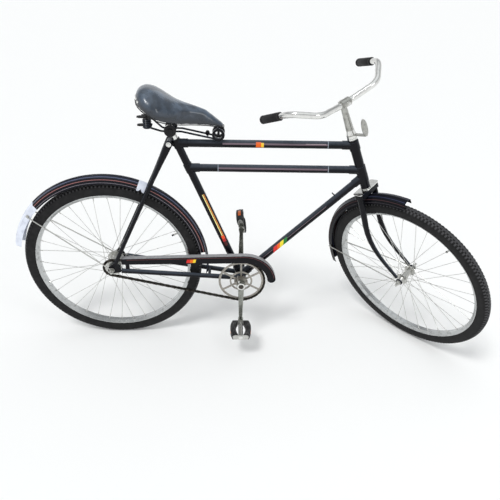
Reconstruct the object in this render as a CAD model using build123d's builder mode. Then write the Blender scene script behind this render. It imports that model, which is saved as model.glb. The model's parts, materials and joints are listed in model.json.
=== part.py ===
"""Roadster bicycle: diamond frame with twin top tubes, raked fork and raised bar.

Millimetres, +X forward, +Y to the rider's left, +Z up. The origin is the rider's seat point
on top of the saddle. The fork and all it carries are drawn straight ahead and then turned
about the steering axis to the angle at which the bicycle rests.
"""

import os
from math import asin, atan2, cos, degrees, radians, sin, sqrt

from build123d import *

# Frame layout
saddle_clamp_ahead = 27.45
saddle_above_tube = 185.0
bracket_clear = 134.0
bb_drop = 61.6
seat_angle = 67.6
top_tube_height = 587.0
top_tube_length = 651.0
head_angle = 68.9
lower_tube_step = 105.0
down_tube_step = 135.0
head_above_joint = 27.0
head_length = 207.0
fork_clear = 23.0
fork_rake = 87.7
steer_at_rest = 48.0
bar_askew = 10.0

# Tubes
tube_d = 28.6
head_d = 36.0
head_bore_d = 31.0
seat_bore_d = 26.2
steerer_d = 25.4
chain_stay_d = 20.0
seat_stay_d = 16.0
stay_cap_d = 19.0
bridge_d = 12.0
lug_wall = 2.0
lug_reach = 26.0
lug_ring = 17.0
fit_gap = 0.3
peg_d = 5.0
peg_height = 14.0
# The pump peg stands on the down tube, this far along it from the bottom bracket
peg_place = 522.0

# Bottom bracket and cranks
bb_shell_d = 44.0
bb_shell_width = 70.0
bb_cup_d = 38.0
bb_cup_proud = 3.5
spindle_d = 16.0
crank_length = 175.0
crank_inner_y = 63.0
crank_thick = 14.0
crank_bend = 13.0
crank_boss_d = 34.0
crank_boss_thick = 24.0
crank_eye_d = 22.0
crank_root_w = 25.0
crank_tip_w = 14.0
crank_corner = 4.0

# Chain, chainring and sprocket
chain_line_y = 44.0
chain_pitch = 12.7
ring_teeth = 48
sprocket_teeth = 18
tooth_thick = 2.6
tooth_height = 3.6
tooth_root = 3.6
ring_band = 9.0
ring_inner_r = 47.0
ring_inner_band = 7.0
ring_arms = 6
ring_arm_w = 8.0
ring_hub_r = 21.0
ring_lobes = 6
ring_lobe_d = 15.0
plate_thick = 1.2
plate_height = 8.6
plate_gap = 3.2
roller_d = 7.6
roller_every = 4
roller_clear = 2.0

# Chain guard
guard_ahead = 13.0
guard_outer_r = 131.0
guard_inner_r = 97.0
guard_rear_ahead = 40.0
guard_rear_top = 51.0
guard_rear_bottom = 24.0
guard_tip_angle = 9.0
guard_outer_y = 57.5
guard_inner_y = 36.0
guard_wall = 1.5
guard_tab_ahead = 64.0
guard_tab_w = 16.0

# Wheels
tyre_outer_r = 355.5
tyre_height = 37.5
tyre_width = 38.0
tread_width = 24.0
tread_drop = 4.0
shoulder_drop = 13.0
rim_flange = 3.0
rim_depth = 16.0
rim_width = 33.0
rim_wall = 2.0
spoke_count = 36
spoke_d = 2.0
spoke_cross_deg = 62.0
spoke_rim_y = 3.0
spoke_bend = 1.3
rear_flange_y = 31.0
rear_flange_d = 66.0
rear_shell_d = 46.0
driver_d = 40.0
front_flange_y = 29.0
front_flange_d = 48.0
front_shell_d = 26.0
flange_thick = 3.0
axle_d = 9.5
rear_lock_y = 54.5
front_lock_y = 46.0
dropout_thick = 5.0
nut_width = 15.0
nut_thick = 9.5
stay_eye_d = 20.0
stay_eye_thick = 3.0
axle_stub = 12.0

# Mudguards and their stays
guard_clear = 37.5
guard_drop = 31.0
guard_half_w = 27.0
guard_sheet = 1.2
guard_rib_w = 8.0
guard_rib_rise = 2.4
guard_shoulder_w = 20.0
guard_shoulder_drop = 8.0
rear_guard_back = 4.5
rear_guard_up = 4.0
rear_guard_front = -7.0
rear_guard_end = 136.0
tail_end = 167.0
tail_gap = 0.3
front_guard_tip = 76.0
front_guard_end = 182.0
guard_nip_w = 17.0
guard_nip_over = 12.0
wire_d = 5.0
wire_over = 18.0
rear_wire_angle = 144.0
front_wire_angle = 168.0

# Stays and fork ends
chain_stay_root_y = 20.0
seat_stay_top_y = 25.0
stay_end_clear = 38.0
dropout_r = 17.0
dropout_tang_r = 9.0

# Fork
crown_height = 20.0
crown_cover_thick = 3.0
crown_cover_lip = 1.5
crown_length = 40.0
crown_boss_d = 16.0
blade_y = 45.0
blade_top_d = 23.0
blade_tip_d = 13.0
blade_bend_height = 240.0
blade_steps = 5
fork_end_r = 12.0
race_d = 38.0
race_height = 6.0
headset_gap = 0.6
headset_cup_height = 10.0
headset_nut_height = 17.0
headset_top_d = 30.0

# Stem, bar and lamp bracket
stem_d = 22.2
stem_root_d = 29.0
stem_cone_length = 96.0
bar_d = 22.2
clamp_d = 32.0
clamp_width = 38.0
bar_clamp_fwd = 14.0
bar_clamp_up = 170.0
bar_straight = 12.0
bar_root_bend = 40.0
# Bar corners to one side: forward of the axis, sideways, up from the top tube joint, bend radius
bar_corners = [
    (48.0, 132.0, 190.0, 55.0),
    (-12.0, 210.0, 230.0, 60.0),
    (-159.0, 238.0, 205.0, 0.0),
]
grip_d = 31.0
grip_length = 104.0
grip_round = 6.0
bracket_sheet = 3.0
bracket_w = 30.0
bracket_fwd = 72.0
bracket_height = 62.0

# Saddle, in rows along its length: from the seat point, half width, top, skirt edge
saddle_rows = [
    (-86.0, 40.0, 3.0, -17.0),
    (-72.0, 72.0, 19.0, -33.0),
    (-48.0, 94.0, 23.0, -46.0),
    (-8.0, 104.0, 5.0, -69.0),
    (44.0, 80.0, -27.0, -89.0),
    (100.0, 45.0, -42.0, -101.0),
    (156.0, 29.0, -62.0, -107.0),
    (196.0, 23.0, -91.0, -113.0),
    (220.0, 13.0, -111.0, -119.0),
]
saddle_fullness = 0.85
saddle_facets = 10
post_d = 25.4
post_proud = 18.0
post_in = 70.0
saddle_clamp_w = 44.0
saddle_clamp_d = 30.0
rail_d = 7.0
rail_y = 17.0
rail_drop = 135.0
rail_bend = 26.0
rail_level = 40.0
coil_d = 32.0
coil_turns = 5
coil_wire = 6.4
coil_groove = 2.6
coil_pin_d = 6.0
rear_coil_y = 50.0
rear_coil_low = 107.0
nose_coil_ahead = 199.5
nose_coil_d = 46.0
nose_coil_drop = 145.0
nose_coil_w = 9.0
nose_bolt_d = 10.0
nose_wire_d = 5.0
wing_ahead = 160.0
wing_w = 16.0
wing_height = 20.0
wing_thick = 3.0

# Pedals
pedal_gap = 12.0
pedal_width = 96.0
pedal_plate = 3.0
pedal_reach = 33.0
pedal_barrel_d = 19.0
pedal_spindle_d = 12.0
pedal_block_w = 22.0
pedal_block_h = 27.0
pedal_block_bulge = 10.0
pedal_lean = 12.0

# Radii that follow from the tyre
tyre_bead_r = tyre_outer_r - tyre_height
rim_edge_r = tyre_bead_r + rim_flange
rim_inner_r = tyre_bead_r - rim_depth
guard_crown_r = tyre_outer_r + guard_clear
guard_edge_r = guard_crown_r - guard_drop
chain_stay_length = guard_crown_r + bracket_clear
fork_length = guard_crown_r + fork_clear

# Points of the frame in the rest frame
seat_dir = Vector(-cos(radians(seat_angle)), 0, sin(radians(seat_angle)))
clamp_centre = Vector(saddle_clamp_ahead, 0, -rail_drop)
bb_rise = top_tube_height + saddle_above_tube - rail_drop
bb = clamp_centre - seat_dir * (bb_rise / seat_dir.Z)
rear_axle = bb + Vector(-sqrt(chain_stay_length**2 - bb_drop**2), 0, bb_drop)
head_dir = Vector(-cos(radians(head_angle)), 0, sin(radians(head_angle)))
fork_dir = Vector(head_dir.Z, 0, -head_dir.X)
seat_joint = bb + seat_dir * (top_tube_height / seat_dir.Z)
head_joint = seat_joint + Vector(top_tube_length, 0, 0)
head_top = head_joint + head_dir * head_above_joint
head_bottom = head_top - head_dir * head_length
seat_joint_low = seat_joint - seat_dir * lower_tube_step
head_joint_low = head_joint - head_dir * lower_tube_step
head_joint_down = head_joint - head_dir * down_tube_step
seat_top = seat_joint + seat_dir * lug_ring
front_axle = head_bottom - head_dir * fork_length + fork_dir * fork_rake
guard_centre = rear_axle + Vector(-rear_guard_back, 0, rear_guard_up)
steering_axis = Axis(head_bottom, head_dir)
cross = Vector(0, 1, 0)
sides = (-1, 1)

ring_pitch_r = chain_pitch / (2 * sin(radians(180 / ring_teeth)))
sprocket_pitch_r = chain_pitch / (2 * sin(radians(180 / sprocket_teeth)))


def run_plane(start, end):
    """Plane at the start of a run, facing along it."""
    return Plane(origin=start, z_dir=end - start)


def add_rod(start, end, diameter, mode=Mode.ADD):
    """Round bar from one point to another in the part being built."""
    with BuildSketch(run_plane(start, end)) as section:
        Circle(diameter / 2)
    extrude(section.sketch, amount=(end - start).length, mode=mode)


def add_taper(start, end, start_d, end_d):
    """Round bar that tapers from one point to another, turned about its own line."""
    turn_plane = Plane(origin=start, x_dir=end - start, z_dir=(end - start).cross(cross))
    with BuildSketch(turn_plane) as half:
        with BuildLine():
            length = (end - start).length
            Polyline((0, 0), (0, start_d / 2), (length, end_d / 2), (length, 0), close=True)
        make_face()
    revolve(half.sketch, axis=Axis(start, end - start))


def add_disc(centre, side, inner_y, outer_y, diameter, mode=Mode.ADD):
    """Round plate across the bicycle, from one distance out to another."""
    add_rod(centre + cross * (side * inner_y), centre + cross * (side * outer_y), diameter, mode)


def in_fork(forward, sideways, up):
    """Point given forward of the steering axis, sideways and up from the top tube's joint."""
    return head_joint + fork_dir * forward + cross * sideways + head_dir * up


def guard_reach(centre, round_centre, way, radius):
    """Distance from an axle, along a way, to a circle round a mudguard's centre."""
    offset = round_centre - centre
    ahead = way.dot(offset)
    return ahead + sqrt(radius**2 - offset.length**2 + ahead**2)


def keep(part, label):
    """Label and write a piece of the frame, its wheel or its cranks."""
    part.label = label
    export_step(part, f"parts/{label}.step")


def keep_turned(part, label, askew=0.0):
    """Turn a piece of the fork to its angle at rest, then label and write it."""
    keep(part.rotate(steering_axis, -(steer_at_rest + askew)), label)


os.makedirs("parts", exist_ok=True)

# Head tube and the three long tubes of the front triangle
with BuildPart() as head_tube:
    with BuildSketch(Plane(origin=head_bottom, z_dir=head_dir)):
        Circle(head_d / 2)
        Circle(head_bore_d / 2, mode=Mode.SUBTRACT)
    extrude(amount=head_length)
keep(head_tube.part, "head_tube")

with BuildPart() as seat_tube:
    add_rod(bb, seat_top, tube_d)
    add_rod(seat_top - seat_dir * (post_in + 2 * tube_d), seat_top, seat_bore_d, Mode.SUBTRACT)
    add_disc(bb, 1, -bb_shell_width, bb_shell_width, bb_shell_d + 2 * fit_gap, Mode.SUBTRACT)
keep(seat_tube.part, "seat_tube")

tube_runs = [
    ("top_tube_upper", seat_joint, head_joint),
    ("top_tube_lower", seat_joint_low, head_joint_low),
    ("down_tube", bb, head_joint_down),
]
for name, low, high in tube_runs:
    with BuildPart() as tube:
        add_rod(low, high, tube_d)
        add_rod(head_bottom, head_top, head_d + 2 * fit_gap, Mode.SUBTRACT)
        add_rod(bb, seat_top + seat_dir * tube_d, tube_d + 2 * fit_gap, Mode.SUBTRACT)
        add_disc(bb, 1, -bb_shell_width, bb_shell_width, bb_shell_d + 2 * fit_gap, Mode.SUBTRACT)
        trimmed = tube.part.solids().sort_by(SortBy.VOLUME)[-1]
    with BuildPart() as finished:
        add(trimmed)
        if name == "down_tube":
            along = (high - low).normalized()
            upward = Vector(-along.Z, 0, along.X)
            foot = low + along * peg_place
            add_rod(foot, foot + upward * (tube_d / 2 + peg_height), peg_d)
    keep(finished.part, name)

# Lugs: a ring round the main tube and a socket for each tube that joins it
lug_d = tube_d + 2 * (lug_wall + fit_gap)
with BuildPart() as head_lugs:
    for joint, far in (
        (head_joint, seat_joint),
        (head_joint_low, seat_joint_low),
        (head_joint_down, bb),
    ):
        into = (far - joint).normalized()
        add_rod(
            joint - head_dir * lug_ring,
            joint + head_dir * lug_ring,
            head_d + 2 * (lug_wall + fit_gap),
        )
        add_rod(joint, joint + into * (head_d / 2 + lug_reach), lug_d)
    add_rod(head_bottom, head_top, head_d + 2 * fit_gap, Mode.SUBTRACT)
    for joint, far in (
        (head_joint, seat_joint),
        (head_joint_low, seat_joint_low),
        (head_joint_down, bb),
    ):
        add_rod(joint, far, tube_d + 2 * fit_gap, Mode.SUBTRACT)
keep(head_lugs.part, "head_lugs")

with BuildPart() as seat_lugs:
    for joint, far in ((seat_joint, head_joint), (seat_joint_low, head_joint_low)):
        into = (far - joint).normalized()
        add_rod(joint - seat_dir * lug_ring, joint + seat_dir * lug_ring, lug_d)
        add_rod(joint, joint + into * (tube_d / 2 + lug_reach), lug_d)
    add_rod(bb, seat_top + seat_dir * tube_d, tube_d + 2 * fit_gap, Mode.SUBTRACT)
    for joint, far in ((seat_joint, head_joint), (seat_joint_low, head_joint_low)):
        add_rod(joint, far, tube_d + 2 * fit_gap, Mode.SUBTRACT)
keep(seat_lugs.part, "seat_lugs")

# Rear triangle
dropout_y = rear_lock_y + fit_gap + dropout_thick / 2
chain_stay_roots = {side: bb + cross * (side * chain_stay_root_y) for side in sides}
chain_stay_tips = {
    side: rear_axle + cross * (side * dropout_y) + (bb - rear_axle).normalized() * stay_end_clear
    for side in sides
}
seat_stay_tops = {
    side: seat_joint + seat_dir * -4 + cross * (side * seat_stay_top_y) for side in sides
}
stay_foot_dir = (seat_joint - rear_axle).normalized()
seat_stay_feet = {
    side: rear_axle + cross * (side * dropout_y) + stay_foot_dir * stay_end_clear for side in sides
}

with BuildPart() as bottom_bracket:
    for far in (seat_joint, head_joint_down):
        into = (far - bb).normalized()
        add_rod(bb, bb + into * (bb_shell_d / 2 + lug_reach), lug_d)
    for far in (seat_joint, head_joint_down):
        add_rod(bb, far, tube_d + 2 * fit_gap, Mode.SUBTRACT)
    add_disc(bb, 1, -bb_shell_width / 2, bb_shell_width / 2, bb_shell_d)
    for side in sides:
        add_disc(bb, side, bb_shell_width / 2, bb_shell_width / 2 + bb_cup_proud, bb_cup_d)
    add_disc(bb, 1, -bb_shell_width, bb_shell_width, spindle_d + 4 * fit_gap, Mode.SUBTRACT)
keep(bottom_bracket.part, "bottom_bracket")

bridge_out = (bb - rear_axle).normalized()
bridge_r = guard_crown_r + fit_gap + bridge_d / 2
with BuildPart() as chain_stays:
    for side in sides:
        add_rod(chain_stay_roots[side], chain_stay_tips[side], chain_stay_d)
    bridge_from = guard_reach(rear_axle, guard_centre, bridge_out, bridge_r)
    share = 1 - bridge_from / chain_stay_length
    bridge_at = rear_axle + bridge_out * bridge_from
    bridge_y = chain_stay_root_y + share * (dropout_y - chain_stay_root_y)
    add_rod(bridge_at - cross * bridge_y, bridge_at + cross * bridge_y, bridge_d)
    add_disc(bb, 1, -bb_shell_width, bb_shell_width, bb_shell_d + 2 * fit_gap, Mode.SUBTRACT)
    for far in (seat_joint, head_joint_down):
        add_rod(bb, far, lug_d + 2 * fit_gap, Mode.SUBTRACT)
keep(chain_stays.part, "chain_stays")

# The seat stay bridge stands where the stays cross the mudguard's crown
stay_run = seat_stay_tops[1] - seat_stay_feet[1]
foot = seat_stay_feet[1] - guard_centre
flat_dot = foot.X * stay_run.X + foot.Z * stay_run.Z
flat_len = stay_run.X**2 + stay_run.Z**2
flat_foot = foot.X**2 + foot.Z**2 - bridge_r**2
reach = (-flat_dot + sqrt(flat_dot**2 - flat_len * flat_foot)) / flat_len
stay_bridge = seat_stay_feet[1] + stay_run * reach
with BuildPart() as seat_stays:
    for side in sides:
        add_rod(seat_stay_feet[side], seat_stay_tops[side], seat_stay_d)
        add_disc(
            seat_stay_tops[1] - cross * seat_stay_top_y,
            side,
            lug_d / 2 + fit_gap,
            seat_stay_top_y + seat_stay_d / 2 + 1,
            stay_cap_d,
        )
    add_rod(Vector(stay_bridge.X, -stay_bridge.Y, stay_bridge.Z), stay_bridge, bridge_d)
keep(seat_stays.part, "seat_stays")

with BuildPart() as rear_dropouts:
    for side in sides:
        inner = min(side * rear_lock_y, side * (rear_lock_y + dropout_thick))
        with BuildSketch(Plane(origin=(0, inner + side * fit_gap, 0), x_dir=(1, 0, 0), z_dir=(0, 1, 0))):
            with Locations((rear_axle.X, -rear_axle.Z)):
                Circle(dropout_r)
            for tip in (chain_stay_tips[side], seat_stay_feet[side]):
                toward = (rear_axle - tip)
                toward = Vector(toward.X, 0, toward.Z).normalized()
                spot = tip + toward * (dropout_tang_r + fit_gap)
                with Locations((spot.X, -spot.Z)):
                    Circle(dropout_tang_r)
            make_hull()
            with Locations((rear_axle.X, -rear_axle.Z)):
                Circle(axle_d / 2 + fit_gap, mode=Mode.SUBTRACT)
        extrude(amount=dropout_thick)
keep(rear_dropouts.part, "rear_dropouts")


def build_axle(centre, lock_y):
    """Threaded axle with a nut that holds a stay's eye against each fork end."""
    nut_y = lock_y + 3 * fit_gap + dropout_thick + stay_eye_thick
    add_disc(centre, 1, -(nut_y + nut_thick + axle_stub), nut_y + nut_thick + axle_stub, axle_d)
    for side in sides:
        start = centre + cross * (side * nut_y)
        with BuildSketch(Plane(origin=start, z_dir=cross * side, x_dir=(1, 0, 0))) as hexagon:
            RegularPolygon(nut_width / 2, 6, major_radius=False)
        extrude(hexagon.sketch, amount=nut_thick)


with BuildPart() as rear_axle_set:
    build_axle(rear_axle, rear_lock_y)
keep(rear_axle_set.part, "rear_axle")


# Wheels
def build_tyre(centre):
    """Tyre with a crowned tread, square shoulders and sides that run in to its beads."""
    half = tyre_width / 2
    bead = rim_width / 2 - rim_wall - fit_gap
    right = [
        (tread_width / 4, tyre_outer_r),
        (tread_width / 2, tyre_outer_r - tread_drop),
        (half, tyre_outer_r - shoulder_drop),
        (half, (tyre_outer_r + rim_edge_r) / 2),
        (bead, rim_edge_r),
        (bead, tyre_bead_r),
    ]
    left = [(-y, r) for y, r in reversed(right)]
    with BuildSketch(Plane(origin=centre, x_dir=(0, 1, 0), z_dir=(1, 0, 0))) as section:
        with BuildLine():
            Polyline(*right, *left, close=True)
        make_face()
    revolve(section.sketch, axis=Axis(centre, cross))


def build_rim(centre):
    """Rolled steel rim with upright edges and a rounded well for the spokes."""
    half = rim_width / 2
    floor_r = tyre_bead_r - fit_gap
    with BuildSketch(Plane(origin=centre, x_dir=(0, 1, 0), z_dir=(1, 0, 0))) as section:
        with BuildLine():
            Polyline(
                (-half + rim_wall, rim_edge_r),
                (-half + rim_wall, floor_r),
                (half - rim_wall, floor_r),
                (half - rim_wall, rim_edge_r),
                (half, rim_edge_r),
                (half, floor_r - 3 * rim_wall),
                (half / 2, rim_inner_r),
                (-half / 2, rim_inner_r),
                (-half, floor_r - 3 * rim_wall),
                (-half, rim_edge_r),
                (-half + rim_wall, rim_edge_r),
            )
        make_face()
    revolve(section.sketch, axis=Axis(centre, cross))


def build_spokes(centre, flange_y, flange_d):
    """Tangent spokes, laced in turn from the outer and the inner face of each flange."""
    hole_r = flange_d / 2 - 4
    inner_face = -(flange_thick / 2 + spoke_d / 2 + fit_gap / 3)
    outer_face = flange_thick / 2 + spoke_d / 2 + spoke_bend
    rim_r = rim_inner_r - fit_gap
    for index in range(spoke_count):
        side = sides[index % 2]
        leading = (index // 2) % 2
        turn = 360 / spoke_count * index
        lean = spoke_cross_deg if leading else -spoke_cross_deg
        out_y = side * (flange_y + (outer_face if leading else inner_face))
        hub_at = radians(turn + lean)
        rim_at = radians(turn)
        hub_end = centre + Vector(hole_r * cos(hub_at), out_y, hole_r * sin(hub_at))
        rim_end = centre + Vector(rim_r * cos(rim_at), side * spoke_rim_y, rim_r * sin(rim_at))
        with BuildSketch(run_plane(hub_end, rim_end)) as wire:
            RegularPolygon(spoke_d / 2, 6)
        extrude(wire.sketch, amount=(rim_end - hub_end).length)


def build_hub(centre, lock_y, flange_y, flange_d, shell_d):
    """Hub shell between its lock faces, bored for the axle, with a flange at each end."""
    half = flange_thick / 2
    cone_r = shell_d / 2 * 0.6
    bore_r = axle_d / 2 + fit_gap
    with BuildSketch(Plane(origin=centre, x_dir=(0, 1, 0), z_dir=(1, 0, 0))) as section:
        with BuildLine():
            Polyline(
                (-lock_y, bore_r),
                (-lock_y, cone_r),
                (-flange_y - half, shell_d / 2),
                (-flange_y - half, flange_d / 2),
                (-flange_y + half, flange_d / 2),
                (-flange_y + half, shell_d / 2),
                (flange_y - half, shell_d / 2),
                (flange_y - half, flange_d / 2),
                (flange_y + half, flange_d / 2),
                (flange_y + half, shell_d / 2),
                (lock_y, cone_r),
                (lock_y, bore_r),
                close=True,
            )
        make_face()
    revolve(section.sketch, axis=Axis(centre, cross))


def add_teeth(centre, teeth, pitch_r, inner_r, y):
    """Toothed ring on the chain line, with one pointed tooth to each pitch."""
    root_r = pitch_r - tooth_root
    half = chain_pitch / 4
    plane = Plane(origin=centre + cross * (y + tooth_thick / 2), x_dir=(1, 0, 0), z_dir=(0, -1, 0))
    with BuildSketch(plane) as outline:
        Circle(root_r)
        with PolarLocations(0, teeth):
            with BuildLine():
                Polyline(
                    (root_r - 1, -half),
                    (pitch_r + tooth_height, -half / 3),
                    (pitch_r + tooth_height, half / 3),
                    (root_r - 1, half),
                    close=True,
                )
            make_face()
        Circle(inner_r, mode=Mode.SUBTRACT)
    extrude(outline.sketch, amount=tooth_thick)


wheels = [
    ("rear", rear_axle, rear_lock_y, rear_flange_y, rear_flange_d, rear_shell_d, keep),
    ("front", front_axle, front_lock_y, front_flange_y, front_flange_d, front_shell_d, keep_turned),
]
for name, centre, lock_y, flange_y, flange_d, shell_d, finish in wheels:
    with BuildPart() as tyre:
        build_tyre(centre)
    finish(tyre.part, f"{name}_tyre")
    with BuildPart() as rim:
        build_rim(centre)
    finish(rim.part, f"{name}_rim")
    with BuildPart() as spokes:
        build_spokes(centre, flange_y, flange_d)
    finish(spokes.part, f"{name}_spokes")
    with BuildPart() as hub:
        build_hub(centre, lock_y, flange_y, flange_d, shell_d)
        if name == "rear":
            add_disc(centre, -1, flange_y, chain_line_y + tooth_thick, driver_d)
            add_disc(centre, -1, 0, lock_y, axle_d + 2 * fit_gap, Mode.SUBTRACT)
    finish(hub.part, f"{name}_hub")

with BuildPart() as rear_sprocket:
    add_teeth(rear_axle, sprocket_teeth, sprocket_pitch_r, driver_d / 2 + fit_gap, -chain_line_y)
keep(rear_sprocket.part, "rear_sprocket")


# Mudguards
def guard_band(centre, start, end, half_w, crown_r, edge_r):
    """Arched sheet with a rib along its crown, round a wheel between two angles up from straight ahead."""
    tilt = radians(start)
    out = Vector(cos(tilt), 0, sin(tilt))
    outer = [
        (guard_rib_w / 4, crown_r),
        (guard_rib_w / 2, crown_r - guard_rib_rise),
        (guard_shoulder_w, crown_r - guard_shoulder_drop),
        (half_w, edge_r),
    ]
    inner = [(y - guard_sheet / 2, r - guard_sheet) for y, r in outer[:-1]]
    whole = outer[::-1] + [(-y, r) for y, r in outer]
    whole += [(-half_w + guard_sheet, edge_r)] + [(-y, r) for y, r in inner[::-1]]
    whole += inner + [(half_w - guard_sheet, edge_r)]
    with BuildSketch(Plane(origin=centre, x_dir=cross, z_dir=out.cross(cross) * -1)) as section:
        with BuildLine():
            Polyline(*whole, close=True)
        make_face()
    revolve(section.sketch, axis=Axis(centre, cross * -1), revolution_arc=end - start)


with BuildPart() as rear_mudguard:
    guard_band(
        guard_centre, rear_guard_front, rear_guard_end, guard_half_w, guard_crown_r, guard_edge_r
    )
    nip = guard_centre + Vector(guard_crown_r, 0, 0)
    with BuildSketch(Plane(origin=nip)):
        with GridLocations(0, 4 * guard_nip_w, 1, 2):
            Rectangle(4 * guard_drop, 2 * guard_nip_w)
    nip_height = guard_crown_r * sin(radians(-rear_guard_front)) + guard_nip_over
    extrude(amount=nip_height, both=True, mode=Mode.SUBTRACT)
keep(rear_mudguard.part, "rear_mudguard")

with BuildPart() as mudguard_tail:
    guard_band(
        guard_centre,
        rear_guard_end + degrees(tail_gap / guard_crown_r),
        tail_end,
        guard_half_w,
        guard_crown_r,
        guard_edge_r,
    )
keep(mudguard_tail.part, "mudguard_tail")

with BuildPart() as front_mudguard:
    guard_band(
        front_axle,
        front_guard_tip + 90 - head_angle,
        front_guard_end + 90 - head_angle,
        guard_half_w,
        guard_crown_r,
        guard_edge_r,
    )
keep_turned(front_mudguard.part, "front_mudguard")


def build_wires(centre, round_centre, angle, eye_y):
    """Pair of wire stays from an eye on the axle to the mudguard's edges."""
    along = Vector(cos(radians(angle)), 0, sin(radians(angle)))
    length = guard_reach(centre, round_centre, along, guard_edge_r)
    for side in sides:
        add_disc(centre, side, eye_y, eye_y + stay_eye_thick, stay_eye_d)
        start = centre + along * (stay_eye_d / 2 - 1) + cross * (side * (eye_y + wire_d / 2 + 1))
        edge = centre + along * length + cross * (side * (guard_half_w + wire_d / 2 + fit_gap))
        add_rod(start, edge + (edge - start).normalized() * wire_over, wire_d)
        add_disc(centre, side, 0, 2 * eye_y, axle_d + 2 * fit_gap, Mode.SUBTRACT)


rear_eye_y = rear_lock_y + 2 * fit_gap + dropout_thick
front_eye_y = front_lock_y + 2 * fit_gap + dropout_thick
with BuildPart() as rear_wires:
    build_wires(rear_axle, guard_centre, rear_wire_angle, rear_eye_y)
keep(rear_wires.part, "rear_wires")

with BuildPart() as front_wires:
    build_wires(front_axle, front_axle, front_wire_angle + 90 - head_angle, front_eye_y)
keep_turned(front_wires.part, "front_wires")

# Cranks
with BuildPart() as crank_spindle:
    add_disc(bb, 1, -crank_inner_y - crank_boss_thick, crank_inner_y + crank_boss_thick, spindle_d)
keep(crank_spindle.part, "crank_spindle")

eye_inner_y = crank_inner_y + crank_bend
for name, side in (("crank_right", -1), ("crank_left", 1)):
    eye = bb + Vector(0, 0, side * crank_length)
    with BuildPart() as crank:
        for spot, inner_y, width in (
            (bb, crank_inner_y, crank_root_w),
            (eye, eye_inner_y, crank_tip_w),
        ):
            middle = spot + cross * (side * (inner_y + crank_thick / 2))
            with BuildSketch(Plane(origin=middle, x_dir=(1, 0, 0), z_dir=(0, 0, side))):
                RectangleRounded(width, crank_thick, crank_corner)
        loft(ruled=True)
        add_disc(bb, side, crank_inner_y, crank_inner_y + crank_boss_thick, crank_boss_d)
        add_disc(eye, side, eye_inner_y - fit_gap, eye_inner_y + crank_thick + fit_gap, crank_eye_d)
        pedal_end = eye_inner_y + crank_thick + pedal_gap + pedal_width - 2 * pedal_plate
        add_disc(eye, side, eye_inner_y + crank_thick, pedal_end, pedal_spindle_d)
        add_disc(
            bb, side, crank_inner_y - 1, crank_inner_y + crank_boss_thick + 1,
            spindle_d + 2 * fit_gap, Mode.SUBTRACT,
        )
    keep(crank.part, name)

with BuildPart() as chainring:
    rim_in_r = ring_pitch_r - tooth_root - ring_band
    add_teeth(bb, ring_teeth, ring_pitch_r, rim_in_r, -chain_line_y)
    plane = Plane(
        origin=bb + cross * (-chain_line_y + tooth_thick / 2), x_dir=(1, 0, 0), z_dir=(0, -1, 0)
    )
    with BuildSketch(plane):
        Circle(ring_inner_r)
        Circle(ring_inner_r - ring_inner_band, mode=Mode.SUBTRACT)
        with PolarLocations(0, ring_arms, start_angle=90):
            with Locations(((rim_in_r + ring_hub_r) / 2, 0)):
                Rectangle(rim_in_r - ring_hub_r + ring_band, ring_arm_w)
        Circle(ring_hub_r)
    extrude(amount=tooth_thick)
    add_disc(bb, -1, chain_line_y, crank_inner_y - fit_gap, 2 * ring_hub_r)
    for index in range(ring_lobes):
        turn = radians(360 / ring_lobes * index)
        spot = bb + Vector(cos(turn), 0, sin(turn)) * ring_hub_r
        add_disc(spot, -1, chain_line_y, crank_inner_y - fit_gap, ring_lobe_d)
    add_disc(
        bb, -1, chain_line_y - tooth_thick, crank_inner_y,
        spindle_d + 2 * fit_gap, Mode.SUBTRACT,
    )
keep(chainring.part, "chainring")

# Chain: two bands of side plates that straddle the teeth, with rollers on the straight runs
run_tilt = asin((ring_pitch_r - sprocket_pitch_r) / chain_stay_length)
centre_tilt = atan2(bb.Z - rear_axle.Z, bb.X - rear_axle.X)
straight = sqrt(chain_stay_length**2 - (ring_pitch_r - sprocket_pitch_r) ** 2)
with BuildPart() as chain:
    for offset in (-plate_gap / 2 - plate_thick, plate_gap / 2):
        plane = Plane(
            origin=Vector(0, -chain_line_y + offset, 0), x_dir=(1, 0, 0), z_dir=(0, 1, 0)
        )
        with BuildSketch(plane):
            with Locations((rear_axle.X, -rear_axle.Z)):
                Circle(sprocket_pitch_r + plate_height / 2)
            with Locations((bb.X, -bb.Z)):
                Circle(ring_pitch_r + plate_height / 2)
            make_hull()
        extrude(amount=plate_thick)
        with BuildSketch(plane):
            with Locations((rear_axle.X, -rear_axle.Z)):
                Circle(sprocket_pitch_r - plate_height / 2)
            with Locations((bb.X, -bb.Z)):
                Circle(ring_pitch_r - plate_height / 2)
            make_hull()
        extrude(amount=plate_thick, mode=Mode.SUBTRACT)
    for way in (1, -1):
        lean = centre_tilt + way * run_tilt
        normal = Vector(-sin(lean), 0, cos(lean)) * way
        along = Vector(cos(lean), 0, sin(lean))
        start = rear_axle + normal * sprocket_pitch_r
        clear = roller_d / 2 + plate_height / 2 + roller_clear
        first = sqrt((sprocket_pitch_r + clear) ** 2 - sprocket_pitch_r**2)
        last = straight - sqrt((ring_pitch_r + clear) ** 2 - ring_pitch_r**2)
        spacing = roller_every * chain_pitch
        for index in range(int((last - first) / spacing) + 1):
            add_disc(
                start + along * (first + index * spacing),
                -1,
                chain_line_y - plate_gap / 2,
                chain_line_y + plate_gap / 2,
                roller_d,
            )
keep(chain.part, "chain")

# Chain guard: a side plate and a top flange that follow the upper run and dip at the front
guard_rear = rear_axle.X + guard_rear_ahead
guard_hub = bb + Vector(guard_ahead, 0, 0)
rear_top = Vector(guard_rear - guard_hub.X, rear_axle.Z + guard_rear_top - bb.Z)
rear_low = Vector(guard_rear - guard_hub.X, rear_axle.Z + guard_rear_bottom - bb.Z)


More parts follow.
